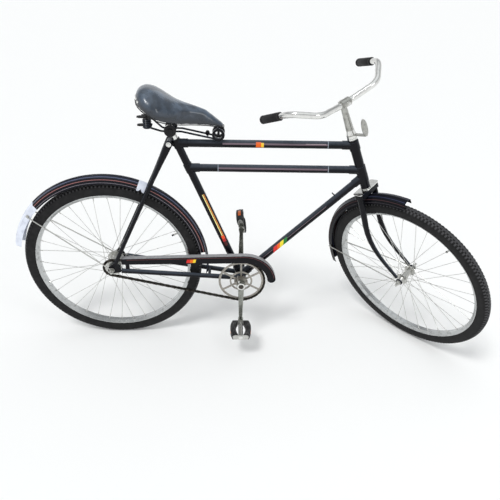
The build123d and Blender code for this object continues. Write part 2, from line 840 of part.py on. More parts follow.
def touch(point, radius):
    """Point where the line from a rear corner meets the round front of the guard."""
    distance = sqrt(point.X**2 + point.Y**2)
    turn = atan2(point.Y, point.X) - (radians(90) - asin(radius / distance))
    return radius * cos(turn), radius * sin(turn)


guard_plane = Plane(origin=guard_hub - cross * guard_outer_y, x_dir=(1, 0, 0), z_dir=(0, -1, 0))


def guard_outline(outer_r, inner_r, top, low):
    """Outline of the guard between two radii round its own centre."""
    tip = radians(guard_tip_angle)
    top_touch = touch(top, outer_r)
    low_touch = touch(low, inner_r)
    mid_r = radians(45)
    with BuildLine() as outline:
        Line((top.X, top.Y), top_touch)
        ThreePointArc(
            top_touch,
            (outer_r * cos(mid_r), outer_r * sin(mid_r)),
            (outer_r * cos(tip), outer_r * sin(tip)),
        )
        nose_r = (outer_r - inner_r) / 2
        ThreePointArc(
            (outer_r * cos(tip), outer_r * sin(tip)),
            (
                (inner_r + nose_r) * cos(tip) + nose_r * sin(tip),
                (inner_r + nose_r) * sin(tip) - nose_r * cos(tip),
            ),
            (inner_r * cos(tip), inner_r * sin(tip)),
        )
        ThreePointArc(
            (inner_r * cos(tip), inner_r * sin(tip)),
            (inner_r * cos(mid_r), inner_r * sin(mid_r)),
            low_touch,
        )
        Line(low_touch, (low.X, low.Y))
        Line((low.X, low.Y), (top.X, top.Y))
    return outline.line


with BuildPart() as chain_guard:
    with BuildSketch(guard_plane):
        make_face(guard_outline(guard_outer_r, guard_inner_r, rear_top, rear_low).edges())
    extrude(amount=-guard_wall)
    top_in = rear_top - Vector(0, guard_wall)
    with BuildSketch(guard_plane):
        make_face(guard_outline(guard_outer_r, guard_outer_r - guard_wall, rear_top, top_in).edges())
    extrude(amount=-(guard_outer_y - guard_inner_y))
    stay_line = bridge_out * guard_tab_ahead + rear_axle - guard_hub
    tab_height = guard_rear_top - guard_wall + rear_axle.Z - bb.Z - stay_line.Z
    with BuildSketch(guard_plane):
        with Locations((stay_line.X, stay_line.Z + tab_height / 2)):
            Rectangle(guard_tab_w, tab_height)
    extrude(amount=-guard_wall)
    add_rod(
        chain_stay_roots[-1], chain_stay_tips[-1], chain_stay_d + 2 * fit_gap, Mode.SUBTRACT
    )
keep(chain_guard.part, "chain_guard")

# Headset, fork and front axle
crown_top = head_bottom - head_dir * (race_height + 2 * headset_gap)
cup_low = head_top + head_dir * (race_height + headset_gap)
cup_high = cup_low + head_dir * headset_cup_height
bracket_base = cup_high + head_dir * fit_gap
nut_low = bracket_base + head_dir * (bracket_sheet + fit_gap)
nut_high = nut_low + head_dir * headset_nut_height
with BuildPart() as headset_cups:
    add_taper(head_top, head_top + head_dir * race_height, race_d, race_d)
    add_taper(head_bottom, head_bottom - head_dir * (race_height / 2), race_d, race_d)
    add_rod(
        head_bottom - head_dir * head_length, head_top + head_dir * head_length,
        steerer_d + 2 * headset_gap, Mode.SUBTRACT,
    )
keep(headset_cups.part, "headset_cups")

with BuildPart() as fork_crown:
    with BuildSketch(Plane(origin=crown_top, x_dir=fork_dir, z_dir=head_dir)):
        RectangleRounded(crown_length, 2 * blade_y + blade_top_d, blade_top_d / 2 - fit_gap)
    extrude(amount=-crown_height)
    add_rod(
        crown_top, head_bottom - head_dir * (race_height / 2 + headset_gap), race_d
    )
    crown_mid = crown_top - head_dir * (crown_height / 2)
    guard_way = (crown_mid - front_axle).normalized()
    add_rod(front_axle + guard_way * (guard_crown_r + fit_gap), crown_mid, crown_boss_d)
    add_rod(crown_top, nut_high, steerer_d)
    add_rod(head_bottom, nut_high + head_dir, stem_d + 2 * fit_gap, Mode.SUBTRACT)
keep_turned(fork_crown.part, "fork_crown")

cover_length = crown_length + 2 * crown_cover_lip
cover_width = 2 * blade_y + blade_top_d + 2 * crown_cover_lip
with BuildPart() as crown_cover:
    with BuildSketch(Plane(origin=crown_top + head_dir * fit_gap, x_dir=fork_dir, z_dir=head_dir)):
        RectangleRounded(cover_length, cover_width, blade_top_d / 2)
        Circle(race_d / 2 + fit_gap, mode=Mode.SUBTRACT)
    extrude(amount=crown_cover_thick)
keep_turned(crown_cover.part, "crown_cover")

bend_r = (fork_rake**2 + blade_bend_height**2) / (2 * fork_rake)
bend_turn = degrees(asin(blade_bend_height / bend_r))
bend_centre = front_axle + fork_dir * (bend_r - fork_rake) + head_dir * blade_bend_height
with BuildPart() as fork_blades:
    for side in sides:
        top = crown_top - head_dir * (crown_height + fit_gap) + cross * (side * blade_y)
        bend = bend_centre - fork_dir * bend_r + cross * (side * blade_y)
        add_taper(top, bend, blade_top_d, blade_top_d - 2)
        tip_turn = bend_turn - degrees(fork_end_r / bend_r)
        for step in range(blade_steps + 1):
            turn = radians(tip_turn * step / blade_steps)
            spot = bend_centre + cross * (side * blade_y)
            spot = spot - fork_dir * (bend_r * cos(turn)) - head_dir * (bend_r * sin(turn))
            facing = head_dir * -cos(turn) + fork_dir * sin(turn)
            width = blade_top_d - 2 + (blade_tip_d - blade_top_d + 2) * step / blade_steps
            with BuildSketch(Plane(origin=spot, z_dir=facing, x_dir=cross)):
                Circle(width / 2)
        loft(ruled=True)
        add_disc(
            front_axle, side, front_lock_y + fit_gap,
            front_lock_y + fit_gap + dropout_thick, 2 * fork_end_r + 4,
        )
    add_disc(front_axle, 1, -2 * blade_y, 2 * blade_y, axle_d + 2 * fit_gap, Mode.SUBTRACT)
keep_turned(fork_blades.part, "fork_blades")

with BuildPart() as front_axle_set:
    build_axle(front_axle, front_lock_y)
keep_turned(front_axle_set.part, "front_axle")

with BuildPart() as headset_nuts:
    add_taper(cup_low, cup_high, race_d, race_d)
    add_taper(nut_low, nut_high, race_d, headset_top_d)
    add_rod(cup_low, nut_high, steerer_d + 2 * fit_gap, Mode.SUBTRACT)
keep_turned(headset_nuts.part, "headset_nuts")

# Stem, bar, grips and lamp bracket
clamp_at = in_fork(bar_clamp_fwd, 0, bar_clamp_up)
with BuildPart() as stem:
    add_rod(head_bottom + head_dir * (head_length / 2), in_fork(0, 0, bar_clamp_up + 4), stem_d)
    cone_foot = nut_high + head_dir * fit_gap
    add_taper(cone_foot, cone_foot + head_dir * stem_cone_length, stem_root_d, stem_d)
    add_rod(clamp_at - cross * (clamp_width / 2), clamp_at + cross * (clamp_width / 2), clamp_d)
    add_rod(
        clamp_at - cross * clamp_width, clamp_at + cross * clamp_width,
        bar_d + 2 * fit_gap, Mode.SUBTRACT,
    )
keep_turned(stem.part, "stem", bar_askew)


def bar_path(side):
    """Corners of one half of the bar, from the clamp to the end of the grip."""
    return [clamp_at, clamp_at + cross * (side * (clamp_width / 2 + bar_straight))] + [
        in_fork(forward, side * sideways, up) for forward, sideways, up, radius in bar_corners
    ]


bar_radii = [bar_root_bend] + [row[3] for row in bar_corners[:-1]]
with BuildPart() as handlebar:
    for side in sides:
        corners = bar_path(side)
        with BuildLine() as path:
            FilletPolyline(*corners, radius=bar_radii)
        with BuildSketch(run_plane(corners[0], corners[1])):
            Circle(bar_d / 2)
        sweep(path=path.line)
keep_turned(handlebar.part, "handlebar", bar_askew)

with BuildPart() as grips:
    for side in sides:
        corners = bar_path(side)
        along = (corners[-1] - corners[-2]).normalized()
        end = corners[-1] + along * 3
        add_rod(end - along * grip_length, end - along * grip_round, grip_d)
        add_taper(end - along * grip_round, end, grip_d, grip_d - 2 * grip_round)
        open_end = end - along * (grip_length + 1)
        add_rod(open_end, corners[-1] + along * fit_gap, bar_d + 2 * fit_gap, Mode.SUBTRACT)
keep_turned(grips.part, "grips", bar_askew)

with BuildPart() as lamp_bracket:
    with BuildSketch(Plane(origin=bracket_base, x_dir=fork_dir, z_dir=head_dir)):
        Circle(race_d / 2)
        with Locations((bracket_fwd / 2, 0)):
            Rectangle(bracket_fwd, bracket_w / 2)
        Circle(steerer_d / 2 + fit_gap, mode=Mode.SUBTRACT)
    extrude(amount=bracket_sheet)
    blade_at = bracket_base + fork_dir * bracket_fwd
    with BuildSketch(Plane(origin=blade_at, x_dir=cross, z_dir=fork_dir)):
        with Locations((0, bracket_height / 2)):
            Ellipse(bracket_w / 2, bracket_height / 2 + 2)
    extrude(amount=-bracket_sheet)
keep_turned(lamp_bracket.part, "lamp_bracket")

# Seat post and saddle
post_end = clamp_centre + seat_dir * post_proud
with BuildPart() as seat_post:
    add_rod(seat_top - seat_dir * post_in, post_end, post_d)
keep(seat_post.part, "seat_post")

with BuildPart() as saddle_clamp:
    add_rod(
        clamp_centre - cross * (saddle_clamp_w / 2), clamp_centre + cross * (saddle_clamp_w / 2),
        saddle_clamp_d,
    )
    add_rod(seat_top, post_end + seat_dir * post_d, post_d + 2 * fit_gap, Mode.SUBTRACT)
    for side in sides:
        rail = clamp_centre + cross * (side * rail_y)
        add_rod(
            rail - Vector(saddle_clamp_d, 0, 0), rail + Vector(saddle_clamp_d, 0, 0),
            rail_d + 2 * fit_gap, Mode.SUBTRACT,
        )
keep(saddle_clamp.part, "saddle_clamp")


def add_coil(foot, turns):
    """Close wound spring standing on a point, as a turned sleeve with one ridge to each turn."""
    ridge_r = coil_d / 2
    profile = [(0, 0)]
    for index in range(turns):
        low = index * coil_wire
        profile += [(ridge_r - coil_groove, low), (ridge_r, low + coil_wire / 2)]
    profile += [(ridge_r - coil_groove, turns * coil_wire), (0, turns * coil_wire)]
    with BuildSketch(Plane(origin=foot, x_dir=(1, 0, 0), z_dir=(0, -1, 0))) as half:
        with BuildLine():
            Polyline(*profile, close=True)
        make_face()
    revolve(half.sketch, axis=Axis(foot, (0, 0, 1)))


# The rear coils' pins end under the cover's third row, where its edge is known
rear_row, next_row = saddle_rows[2], saddle_rows[3]
edge_slope = (next_row[3] - rear_row[3]) / (next_row[0] - rear_row[0])
pin_top = rear_row[3] + edge_slope * coil_pin_d / 2 - 2 * fit_gap
nose_coil = Vector(nose_coil_ahead, 0, -nose_coil_drop)
nose_mid_r = nose_coil_d / 2 - nose_coil_w / 2
with BuildPart() as saddle_frame:
    for side in sides:
        nose_end = nose_coil + Vector(0, side * rail_y, -nose_mid_r)
        level = clamp_centre + Vector(rail_level, side * rail_y, 0)
        mid_rear = clamp_centre + Vector(-saddle_clamp_d, side * rail_y, 0)
        coil_foot = Vector(rear_row[0], side * rear_coil_y, -rear_coil_low)
        with BuildLine() as path:
            FilletPolyline(nose_end, level, mid_rear, coil_foot, radius=rail_bend)
        with BuildSketch(run_plane(nose_end, level)):
            Circle(rail_d / 2)
        sweep(path=path.line)
        add_coil(coil_foot - Vector(0, 0, rail_d / 2), coil_turns)
        add_rod(coil_foot, Vector(coil_foot.X, coil_foot.Y, pin_top), coil_pin_d)
        ring_y = side * rail_y
        with BuildSketch(Plane(origin=nose_coil + cross * ring_y, x_dir=(1, 0, 0), z_dir=cross)):
            Circle(nose_coil_d / 2)
            Circle(nose_coil_d / 2 - nose_coil_w, mode=Mode.SUBTRACT)
        extrude(amount=nose_coil_w / 2, both=True)
        ring_front = nose_coil + Vector(nose_mid_r, ring_y, 0)
        nose_row = saddle_rows[-2]
        add_rod(ring_front, Vector(nose_row[0], ring_y, nose_row[3] - nose_wire_d), nose_wire_d)
    add_rod(nose_coil - cross * rail_y, nose_coil + cross * rail_y, nose_bolt_d)
    for side in sides:
        spoke_top = nose_coil + Vector(0, side * rail_y, nose_mid_r)
        add_rod(nose_coil + cross * (side * rail_y), spoke_top, nose_wire_d)
    rail_share = (nose_coil_ahead - wing_ahead) / (nose_coil_ahead - saddle_clamp_ahead - rail_level)
    wing_low = -nose_coil_drop - nose_mid_r + rail_share * (nose_coil_drop + nose_mid_r - rail_drop)
    wing_at = Vector(wing_ahead, 0, wing_low)
    add_rod(wing_at - cross * rail_y, wing_at + cross * rail_y, nose_wire_d)
    with BuildSketch(Plane(origin=wing_at, x_dir=(1, 0, 0), z_dir=(0, -1, 0))):
        with Locations((0, wing_height / 2)):
            Ellipse(wing_w / 2, wing_height / 2)
    extrude(amount=wing_thick / 2, both=True)
keep(saddle_frame.part, "saddle_frame")

with BuildPart() as saddle_cover:
    for along, half_w, top, edge in saddle_rows:
        arch = []
        for index in range(saddle_facets + 1):
            turn = radians(180 * index / saddle_facets)
            out = abs(cos(turn)) ** saddle_fullness * (1 if index * 2 < saddle_facets else -1)
            arch.append((half_w * out, edge + (top - edge) * abs(sin(turn)) ** saddle_fullness))
        with BuildSketch(Plane(origin=(along, 0, 0), x_dir=(0, 1, 0), z_dir=(1, 0, 0))):
            with BuildLine():
                Polyline(*arch, close=True)
            make_face()
    loft(ruled=True)
keep(saddle_cover.part, "saddle_cover")

# Pedals: the right one lies flat, the left one hangs on edge
for name, side, on_edge in (("pedal_right", -1, False), ("pedal_left", 1, True)):
    eye = bb + Vector(0, 0, side * crank_length)
    near = eye_inner_y + crank_thick + pedal_gap
    far = near + pedal_width
    with BuildPart() as body:
        add_disc(eye, side, near, far, pedal_barrel_d)
        for inner in (near, far - pedal_plate):
            with BuildSketch(Plane(origin=eye + cross * (side * inner), x_dir=(1, 0, 0), z_dir=cross * side)):
                SlotOverall(2 * pedal_reach, pedal_block_h - 4)
            extrude(amount=pedal_plate)
        add_disc(
            eye, side, near - 1, far - pedal_plate - fit_gap,
            pedal_spindle_d + 2 * fit_gap, Mode.SUBTRACT,
        )
    with BuildPart() as blocks:
        for end in sides:
            with BuildSketch(Plane(origin=eye - Vector(0, 0, pedal_block_h / 2))):
                low = side * (near + pedal_plate + fit_gap)
                high = side * (far - pedal_plate - fit_gap)
                inner_x = end * (pedal_reach - pedal_block_w)
                outer_x = end * pedal_reach
                with BuildLine():
                    Line((outer_x, low), (inner_x, low))
                    ThreePointArc(
                        (inner_x, low),
                        (inner_x + end * pedal_block_bulge, (low + high) / 2),
                        (inner_x, high),
                    )
                    Line((inner_x, high), (outer_x, high))
                    ThreePointArc(
                        (outer_x, high),
                        (outer_x + end * pedal_block_bulge, (low + high) / 2),
                        (outer_x, low),
                    )
                make_face()
            extrude(amount=pedal_block_h)
    turn = 90 - pedal_lean if on_edge else 0
    pedal_axis = Axis(eye, cross)
    keep(body.part.rotate(pedal_axis, turn), f"{name}_body")
    keep(blocks.part.rotate(pedal_axis, turn), f"{name}_rubbers")
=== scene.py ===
"""Looks of the roadster bicycle: its finishes, fittings, camera and light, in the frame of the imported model."""

from __future__ import annotations

import json
import logging
from dataclasses import dataclass, field
from enum import Enum
from math import acos, atan2, cos, hypot, pi, radians, sin
from typing import Any, ClassVar, Sequence

import bmesh
import bpy
from mathutils import Matrix, Vector

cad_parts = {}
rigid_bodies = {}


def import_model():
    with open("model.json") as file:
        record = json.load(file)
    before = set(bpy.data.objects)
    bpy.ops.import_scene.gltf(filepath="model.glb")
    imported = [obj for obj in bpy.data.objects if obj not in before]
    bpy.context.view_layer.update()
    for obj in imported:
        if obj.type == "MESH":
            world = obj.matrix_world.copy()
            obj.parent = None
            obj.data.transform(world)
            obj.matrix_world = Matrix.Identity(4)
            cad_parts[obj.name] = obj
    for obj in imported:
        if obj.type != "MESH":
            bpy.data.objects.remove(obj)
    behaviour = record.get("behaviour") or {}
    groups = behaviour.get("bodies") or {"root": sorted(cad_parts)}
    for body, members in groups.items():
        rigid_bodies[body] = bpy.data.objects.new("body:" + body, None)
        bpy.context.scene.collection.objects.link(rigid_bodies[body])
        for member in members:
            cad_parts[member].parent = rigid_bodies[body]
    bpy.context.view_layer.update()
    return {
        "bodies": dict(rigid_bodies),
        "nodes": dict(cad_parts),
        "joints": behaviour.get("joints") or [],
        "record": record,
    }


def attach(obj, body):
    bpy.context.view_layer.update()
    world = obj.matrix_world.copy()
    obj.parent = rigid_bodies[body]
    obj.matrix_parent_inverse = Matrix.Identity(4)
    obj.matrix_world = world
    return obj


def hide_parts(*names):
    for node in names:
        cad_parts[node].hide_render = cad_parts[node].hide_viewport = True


MM = 0.001
Node, Socket, Tree = bpy.types.Node, bpy.types.NodeSocket, bpy.types.NodeTree
Face = bmesh.types.BMFace
Pair, Triple, Four = tuple[float, float], tuple[float, float, float], tuple[float, float, float, float]
Constants = tuple[tuple[str, float], ...]
log = logging.getLogger("roadster")


def linear(code: str) -> Four:
    """Turn an sRGB hex colour into linear RGBA.

    Args:
        code: Colour such as "#1a2b3c".

    Returns:
        The linear red, green, blue and an alpha of one.
    """
    parts = [int(code[i : i + 2], 16) / 255 for i in (1, 3, 5)]
    red, green, blue = [c / 12.92 if c <= 0.04045 else ((c + 0.055) / 1.055) ** 2.4 for c in parts]
    return red, green, blue, 1.0


def add_node(tree: Tree, kind: str, feeds: dict[Any, Any] | None = None, **settings: Any) -> Node:
    """Add a node with its settings, its constants and its links.

    Args:
        tree: Node tree that gets the node.
        kind: Blender's name of the shader node's type.
        feeds: Input name or number to a node or socket to link, or a constant to set.
        settings: Properties of the node itself.

    Returns:
        The new node.
    """
    node = tree.nodes.new(f"ShaderNode{kind}")
    for key, value in settings.items():
        setattr(node, key, value)
    for key, value in (feeds or {}).items():
        if isinstance(value, Node):
            value = next(out for out in value.outputs if out.enabled)
        if isinstance(value, Socket):
            tree.links.new(value, node.inputs[key])
        else:
            node.inputs[key].default_value = value
    return node


class Layout(Enum):
    """How painted patches are measured on a piece."""

    STRAIGHT = "along X and up Z"
    ROUND = "by angle about Y and by radius"


@dataclass(frozen=True)
class Patch:
    """A painted patch in its finish's own place, in millimetres, or degrees along a round piece."""

    colour: str
    along: Pair
    up: Pair
    slant: float = 0.0
    layout: Layout = Layout.STRAIGHT


@dataclass(frozen=True)
class Finish:
    """A finish of two colours in clouds under a fine skin, read in millimetres in its own place."""

    name: str
    place: Matrix = field(default_factory=lambda: Matrix.Identity(4))
    base: str = "#808080"
    worn: str = "#606060"
    # Size of the clouds of wear in millimetres, and their detail
    cloud: Pair = (20.0, 5.0)
    # Cloud values where the wear starts and is full, and its largest share
    wear: Triple = (0.0, 1.0, 1.0)
    # Size and detail of the clouds of roughness, the values they are read between, and the roughness they give
    haze: Pair = (20.0, 5.0)
    haze_span: Pair = (0.0, 1.0)
    rough: Pair = (0.3, 0.5)
    # Size of the skin's grain in millimetres and its detail, then the strength and depth of its relief
    skin: Pair = (1.5, 2.0)
    relief: Pair = (0.2, 0.05)
    gloss: float = 0.5
    sockets: Constants = ()
    made: ClassVar[dict[str, bpy.types.Material]] = {}

    def material(self) -> bpy.types.Material:
        """Build the material, once for each name.

        Returns:
            The finished Blender material.
        """
        if self.name not in self.made:
            material = self.made[self.name] = bpy.data.materials.new(self.name)
            material.use_nodes = True
            tree = material.node_tree
            tree.nodes.clear()
            feeds = {
                "Vector": add_node(tree, "TexCoord").outputs["Object"],
                "Location": self.place.to_translation(),
                "Rotation": self.place.to_euler(),
                "Scale": (MM, MM, MM),
            }
            spot = add_node(tree, "Mapping", feeds, vector_type="TEXTURE")
            shader = add_node(tree, "BsdfPrincipled", self.looks(tree, spot))
            add_node(tree, "OutputMaterial", {"Surface": shader})
        return self.made[self.name]

    def looks(self, tree: Tree, spot: Node) -> dict[str, Any]:
        """Draw the finish.

        Args:
            tree: Node tree of the material.
            spot: Coordinates in millimetres.

        Returns:
            What each input of the Principled shader gets.
        """
        clouds = []
        for size, detail in (self.cloud, self.haze, self.skin):
            feeds = {"Vector": spot, "Scale": 1 / size, "Detail": detail}
            clouds.append(add_node(tree, "TexNoise", feeds))
        starts, full, most = self.wear
        feeds = {"Value": clouds[0], "From Min": starts, "From Max": full, "To Max": most}
        share = self.spread(tree, add_node(tree, "MapRange", feeds))
        feeds = {"Factor": share, "A": linear(self.base), "B": linear(self.worn)}
        colour = add_node(tree, "Mix", feeds, data_type="RGBA")
        (low, high), (smooth, dull) = self.haze_span, self.rough
        feeds = {"Value": clouds[1], "From Min": low, "From Max": high, "To Min": smooth, "To Max": dull}
        rough = add_node(tree, "MapRange", feeds)
        strength, depth = self.relief
        feeds = {"Height": clouds[2], "Strength": strength, "Distance": depth * MM}
        return {
            "Base Color": self.tinted(tree, spot, colour),
            "Roughness": rough,
            "Normal": add_node(tree, "Bump", feeds),
            "Specular IOR Level": self.gloss,
            **dict(self.sockets),
        }

    def spread(self, tree: Tree, share: Node) -> Node:
        """Say where the wear lies, which is everywhere unless a finish says more.

        Args:
            tree: Node tree of the material.
            share: Share of wear in the clouds.

        Returns:
            The share of wear on the surface.
        """
        return share

    def tinted(self, tree: Tree, spot: Node, colour: Node) -> Node:
        """Colour the surface over its wear, which is nothing unless a finish says more.

        Args:
            tree: Node tree of the material.
            spot: Coordinates in millimetres.
            colour: Colour with its wear.

        Returns:
            The finished colour.
        """
        return colour


def upward(tree: Tree, starts: float) -> Node:
    """Measure how far a surface faces up.

    Args:
        tree: Node tree of the material.
        starts: Upward part of the normal at which the measure starts.

    Returns:
        The measure, from none to one where the surface is nearly level.
    """
    normal = add_node(tree, "NewGeometry").outputs["Normal"]
    height = add_node(tree, "SeparateXYZ", {0: normal}).outputs["Z"]
    return add_node(tree, "MapRange", {"Value": height, "From Min": starts, "From Max": 0.95})


def about_y(tree: Tree, spot: Node) -> tuple[Any, Socket]:
    """Measure the distance from the Y axis.

    Args:
        tree: Node tree of the material.
        spot: Coordinates in millimetres.

    Returns:
        The coordinates' own sockets, and the distance.
    """
    axes = add_node(tree, "SeparateXYZ", {0: spot}).outputs
    flat = add_node(tree, "CombineXYZ", {"X": axes["X"], "Z": axes["Z"]})
    return axes, add_node(tree, "VectorMath", {0: flat}, operation="LENGTH").outputs["Value"]


@dataclass(frozen=True)
class Enamel(Finish):
    """Stove enamel: a thick glossy paint with faint orange peel, dust and a painted blue-grey sky highlight on top,
    and painted lines.
    """

    base: str = "#0a0a0d"
    worn: str = "#121218"
    cloud: Pair = (45.0, 3.0)
    haze: Pair = (9.0, 4.0)
    rough: Pair = (0.1, 0.24)
    skin: Pair = (1.6, 1.0)
    relief: Pair = (0.25, 0.06)
    gloss: float = 0.12
    sockets: Constants = (("IOR", 1.52), ("Coat Weight", 0.06), ("Coat Roughness", 0.05))
    # Blue-grey of dust and of a painted sky highlight on what faces up, and its largest share
    dust_and_sheen: str = "#8792a2"
    dust_and_sheen_share: float = 0.22
    patches: tuple[Patch, ...] = ()

    def tinted(self, tree: Tree, spot: Node, colour: Node) -> Node:
        """Paint the patches over the enamel and lay the dust and the painted highlight over both.

        Args:
            tree: Node tree of the material.
            spot: Coordinates in millimetres.
            colour: Colour of the enamel.

        Returns:
            The colour with its patches, dust and painted highlight.
        """
        if self.patches:
            colour = self.painted(tree, spot, colour)
        # Dust and a painted blue-grey sky highlight lie on what faces up, in blotches as large as those of the
        # roughness
        size, detail = self.haze
        blotch = add_node(tree, "TexNoise", {"Vector": spot, "Scale": 1 / size, "Detail": detail})
        patchy = add_node(tree, "MapRange", {"Value": blotch, "To Min": 0.6, "To Max": 1.4})
        lies = add_node(tree, "Math", {0: upward(tree, 0.15), 1: patchy}, operation="MULTIPLY")
        share = add_node(tree, "Math", {0: lies, 1: self.dust_and_sheen_share}, operation="MULTIPLY")
        feeds = {"Factor": share, "A": colour, "B": linear(self.dust_and_sheen)}
        return add_node(tree, "Mix", feeds, data_type="RGBA")

    def painted(self, tree: Tree, spot: Node, colour: Node) -> Node:
        """Paint the patches over a colour.

        Args:
            tree: Node tree of the material.
            spot: Coordinates in millimetres.
            colour: Colour under the patches.

        Returns:
            The colour with its patches.
        """
        axes, reach = about_y(tree, spot)
        turn = add_node(tree, "Math", {0: axes["Z"], 1: axes["X"]}, operation="ARCTAN2")
        measures = {
            Layout.STRAIGHT: (axes["X"], axes["Z"]),
            Layout.ROUND: (add_node(tree, "Math", {0: turn}, operation="DEGREES"), reach),
        }
        for patch in self.patches:
            along, up = measures[patch.layout]
            lean = add_node(tree, "Math", {0: up, 1: patch.slant, 2: along}, operation="MULTIPLY_ADD")
            inside = {}
            for index, (value, (low, high)) in enumerate(((lean, patch.along), (up, patch.up))):
                feeds = {0: value, 1: (low + high) / 2, 2: (high - low) / 2}
                inside[index] = add_node(tree, "Math", feeds, operation="COMPARE")
            both = add_node(tree, "Math", inside, operation="MULTIPLY")
            feeds = {"Factor": both, "A": colour, "B": linear(patch.colour)}
            colour = add_node(tree, "Mix", feeds, data_type="RGBA")
        return colour


@dataclass(frozen=True)
class Metal(Finish):
    """Plated steel: a bright or dulled metal with cloudy roughness, fine pits and stains."""

    base: str = "#e4e4e1"
    worn: str = "#77726a"
    cloud: Pair = (14.0, 5.0)
    wear: Triple = (0.5, 0.75, 0.2)
    haze: Pair = (14.0, 5.0)
    haze_span: Pair = (0.3, 0.7)
    rough: Pair = (0.10, 0.24)
    skin: Pair = (1.2, 2.0)
    sockets: Constants = (("Metallic", 1.0),)


@dataclass(frozen=True)
class Rubber(Finish):
    """Moulded black rubber: matt, a little grey with dust in clouds, with a fine skin."""

    base: str = "#131314"
    worn: str = "#2b2a2b"
    cloud: Pair = (22.0, 6.0)
    wear: Triple = (0.4, 0.72, 0.6)
    haze: Pair = (22.0, 6.0)
    rough: Pair = (0.52, 0.77)
    skin: Pair = (2.2, 3.0)
    relief: Pair = (0.4, 0.25)
    gloss: float = 0.22
    tread_r: float = 0.0
    tread_curve: float = 0.027
    # Grey of the tread blocks' tops: scuffs and painted light, against grooves left black
    scuffed_and_lit: str = "#4c4c4e"
    scuff_and_light_rise: Pair = (0.9, 2.2)
    scuff_and_light_share: float = 0.8

    def tinted(self, tree: Tree, spot: Node, colour: Node) -> Node:
        """Grey the tops of a tyre's tread blocks, which stand proud of a curved ground that stays black: scuffs and
        painted light on the tops, so that the ground between them reads as shaded.

        Args:
            tree: Node tree of the material.
            spot: Coordinates in millimetres about the wheel's middle.
            colour: Colour of the rubber.

        Returns:
            The colour with its scuffs and painted light.
        """
        if not self.tread_r:
            return colour
        axes, reach = about_y(tree, spot)
        square = add_node(tree, "Math", {0: axes["Y"], 1: axes["Y"]}, operation="MULTIPLY")
        feeds = {0: square, 1: self.tread_curve, 2: reach}
        height = add_node(tree, "Math", feeds, operation="MULTIPLY_ADD")
        low, high = (self.tread_r + rise for rise in self.scuff_and_light_rise)
        feeds = {"Value": height, "From Min": low, "From Max": high, "To Max": self.scuff_and_light_share}
        share = add_node(tree, "MapRange", feeds)
        feeds = {"Factor": share, "A": colour, "B": linear(self.scuffed_and_lit)}
        return add_node(tree, "Mix", feeds, data_type="RGBA")


@dataclass(frozen=True)
class Vinyl(Finish):
    """Grained saddle vinyl: glossy black skin with pebble grain, and wear and a painted blue-grey sky highlight that
    grey its top.
    """

    base: str = "#171e27"
    # Blue-grey of the top: wear and a painted sky highlight
    worn: str = "#586779"
    cloud: Pair = (42.0, 2.5)
    wear: Triple = (0.35, 0.65, 1.1)
    least_wear_and_sheen: float = 0.3
    haze: Pair = (42.0, 2.5)
    rough: Pair = (0.16, 0.4)
    sockets: Constants = (("IOR", 1.5), ("Coat Weight", 0.55), ("Coat Roughness", 0.14))
    grain_mm: float = 2.0
    grain_gap: float = 0.25
    relief: Pair = (0.15, 0.1)
    dents: Pair = (0.5, 5.0)

    def looks(self, tree: Tree, spot: Node) -> dict[str, Any]:
        """Draw the vinyl, with pebbles and shallow dents in place of the plain skin.

        Args:
            tree: Node tree of the material.
            spot: Coordinates in millimetres.

        Returns:
            What each input of the Principled shader gets.
        """
        feeds = {"Vector": spot, "Scale": 1 / self.grain_mm}
        grain = add_node(tree, "TexVoronoi", feeds, feature="DISTANCE_TO_EDGE").outputs["Distance"]
        pebble = add_node(tree, "MapRange", {"Value": grain, "From Max": self.grain_gap})
        size, detail = self.cloud
        cloud = add_node(tree, "TexNoise", {"Vector": spot, "Scale": 1 / size, "Detail": detail})
        normal: dict[str, Any] = {}
        for height, (strength, depth) in ((pebble, self.relief), (cloud, self.dents)):
            feeds = {"Height": height, "Strength": strength, "Distance": depth * MM, **normal}
            normal = {"Normal": add_node(tree, "Bump", feeds)}
        return super().looks(tree, spot) | normal

    def spread(self, tree: Tree, share: Node) -> Node:
        """Keep the wear and the painted highlight to the top of the saddle.

        Args:
            tree: Node tree of the material.
            share: Share of wear in the clouds.

        Returns:
            The share of wear on the surface.
        """
        share.inputs["To Min"].default_value = self.least_wear_and_sheen
        feeds = {0: upward(tree, 0.1), 1: share}
        return add_node(tree, "Math", feeds, operation="MULTIPLY", use_clamp=True)


@dataclass(frozen=True)
class Plastic(Finish):
    """Moulded plastic: even colour with faint clouds, dull scuffs and a soft gloss."""

    base: str = "#dfe4f0"
    worn: str = "#aeb4c4"
    cloud: Pair = (26.0, 5.0)
    wear: Triple = (0.42, 0.72, 0.7)
    haze: Pair = (26.0, 5.0)
    rough: Pair = (0.28, 0.52)
    relief: Pair = (0.15, 0.08)
    sockets: Constants = (("IOR", 1.49),)


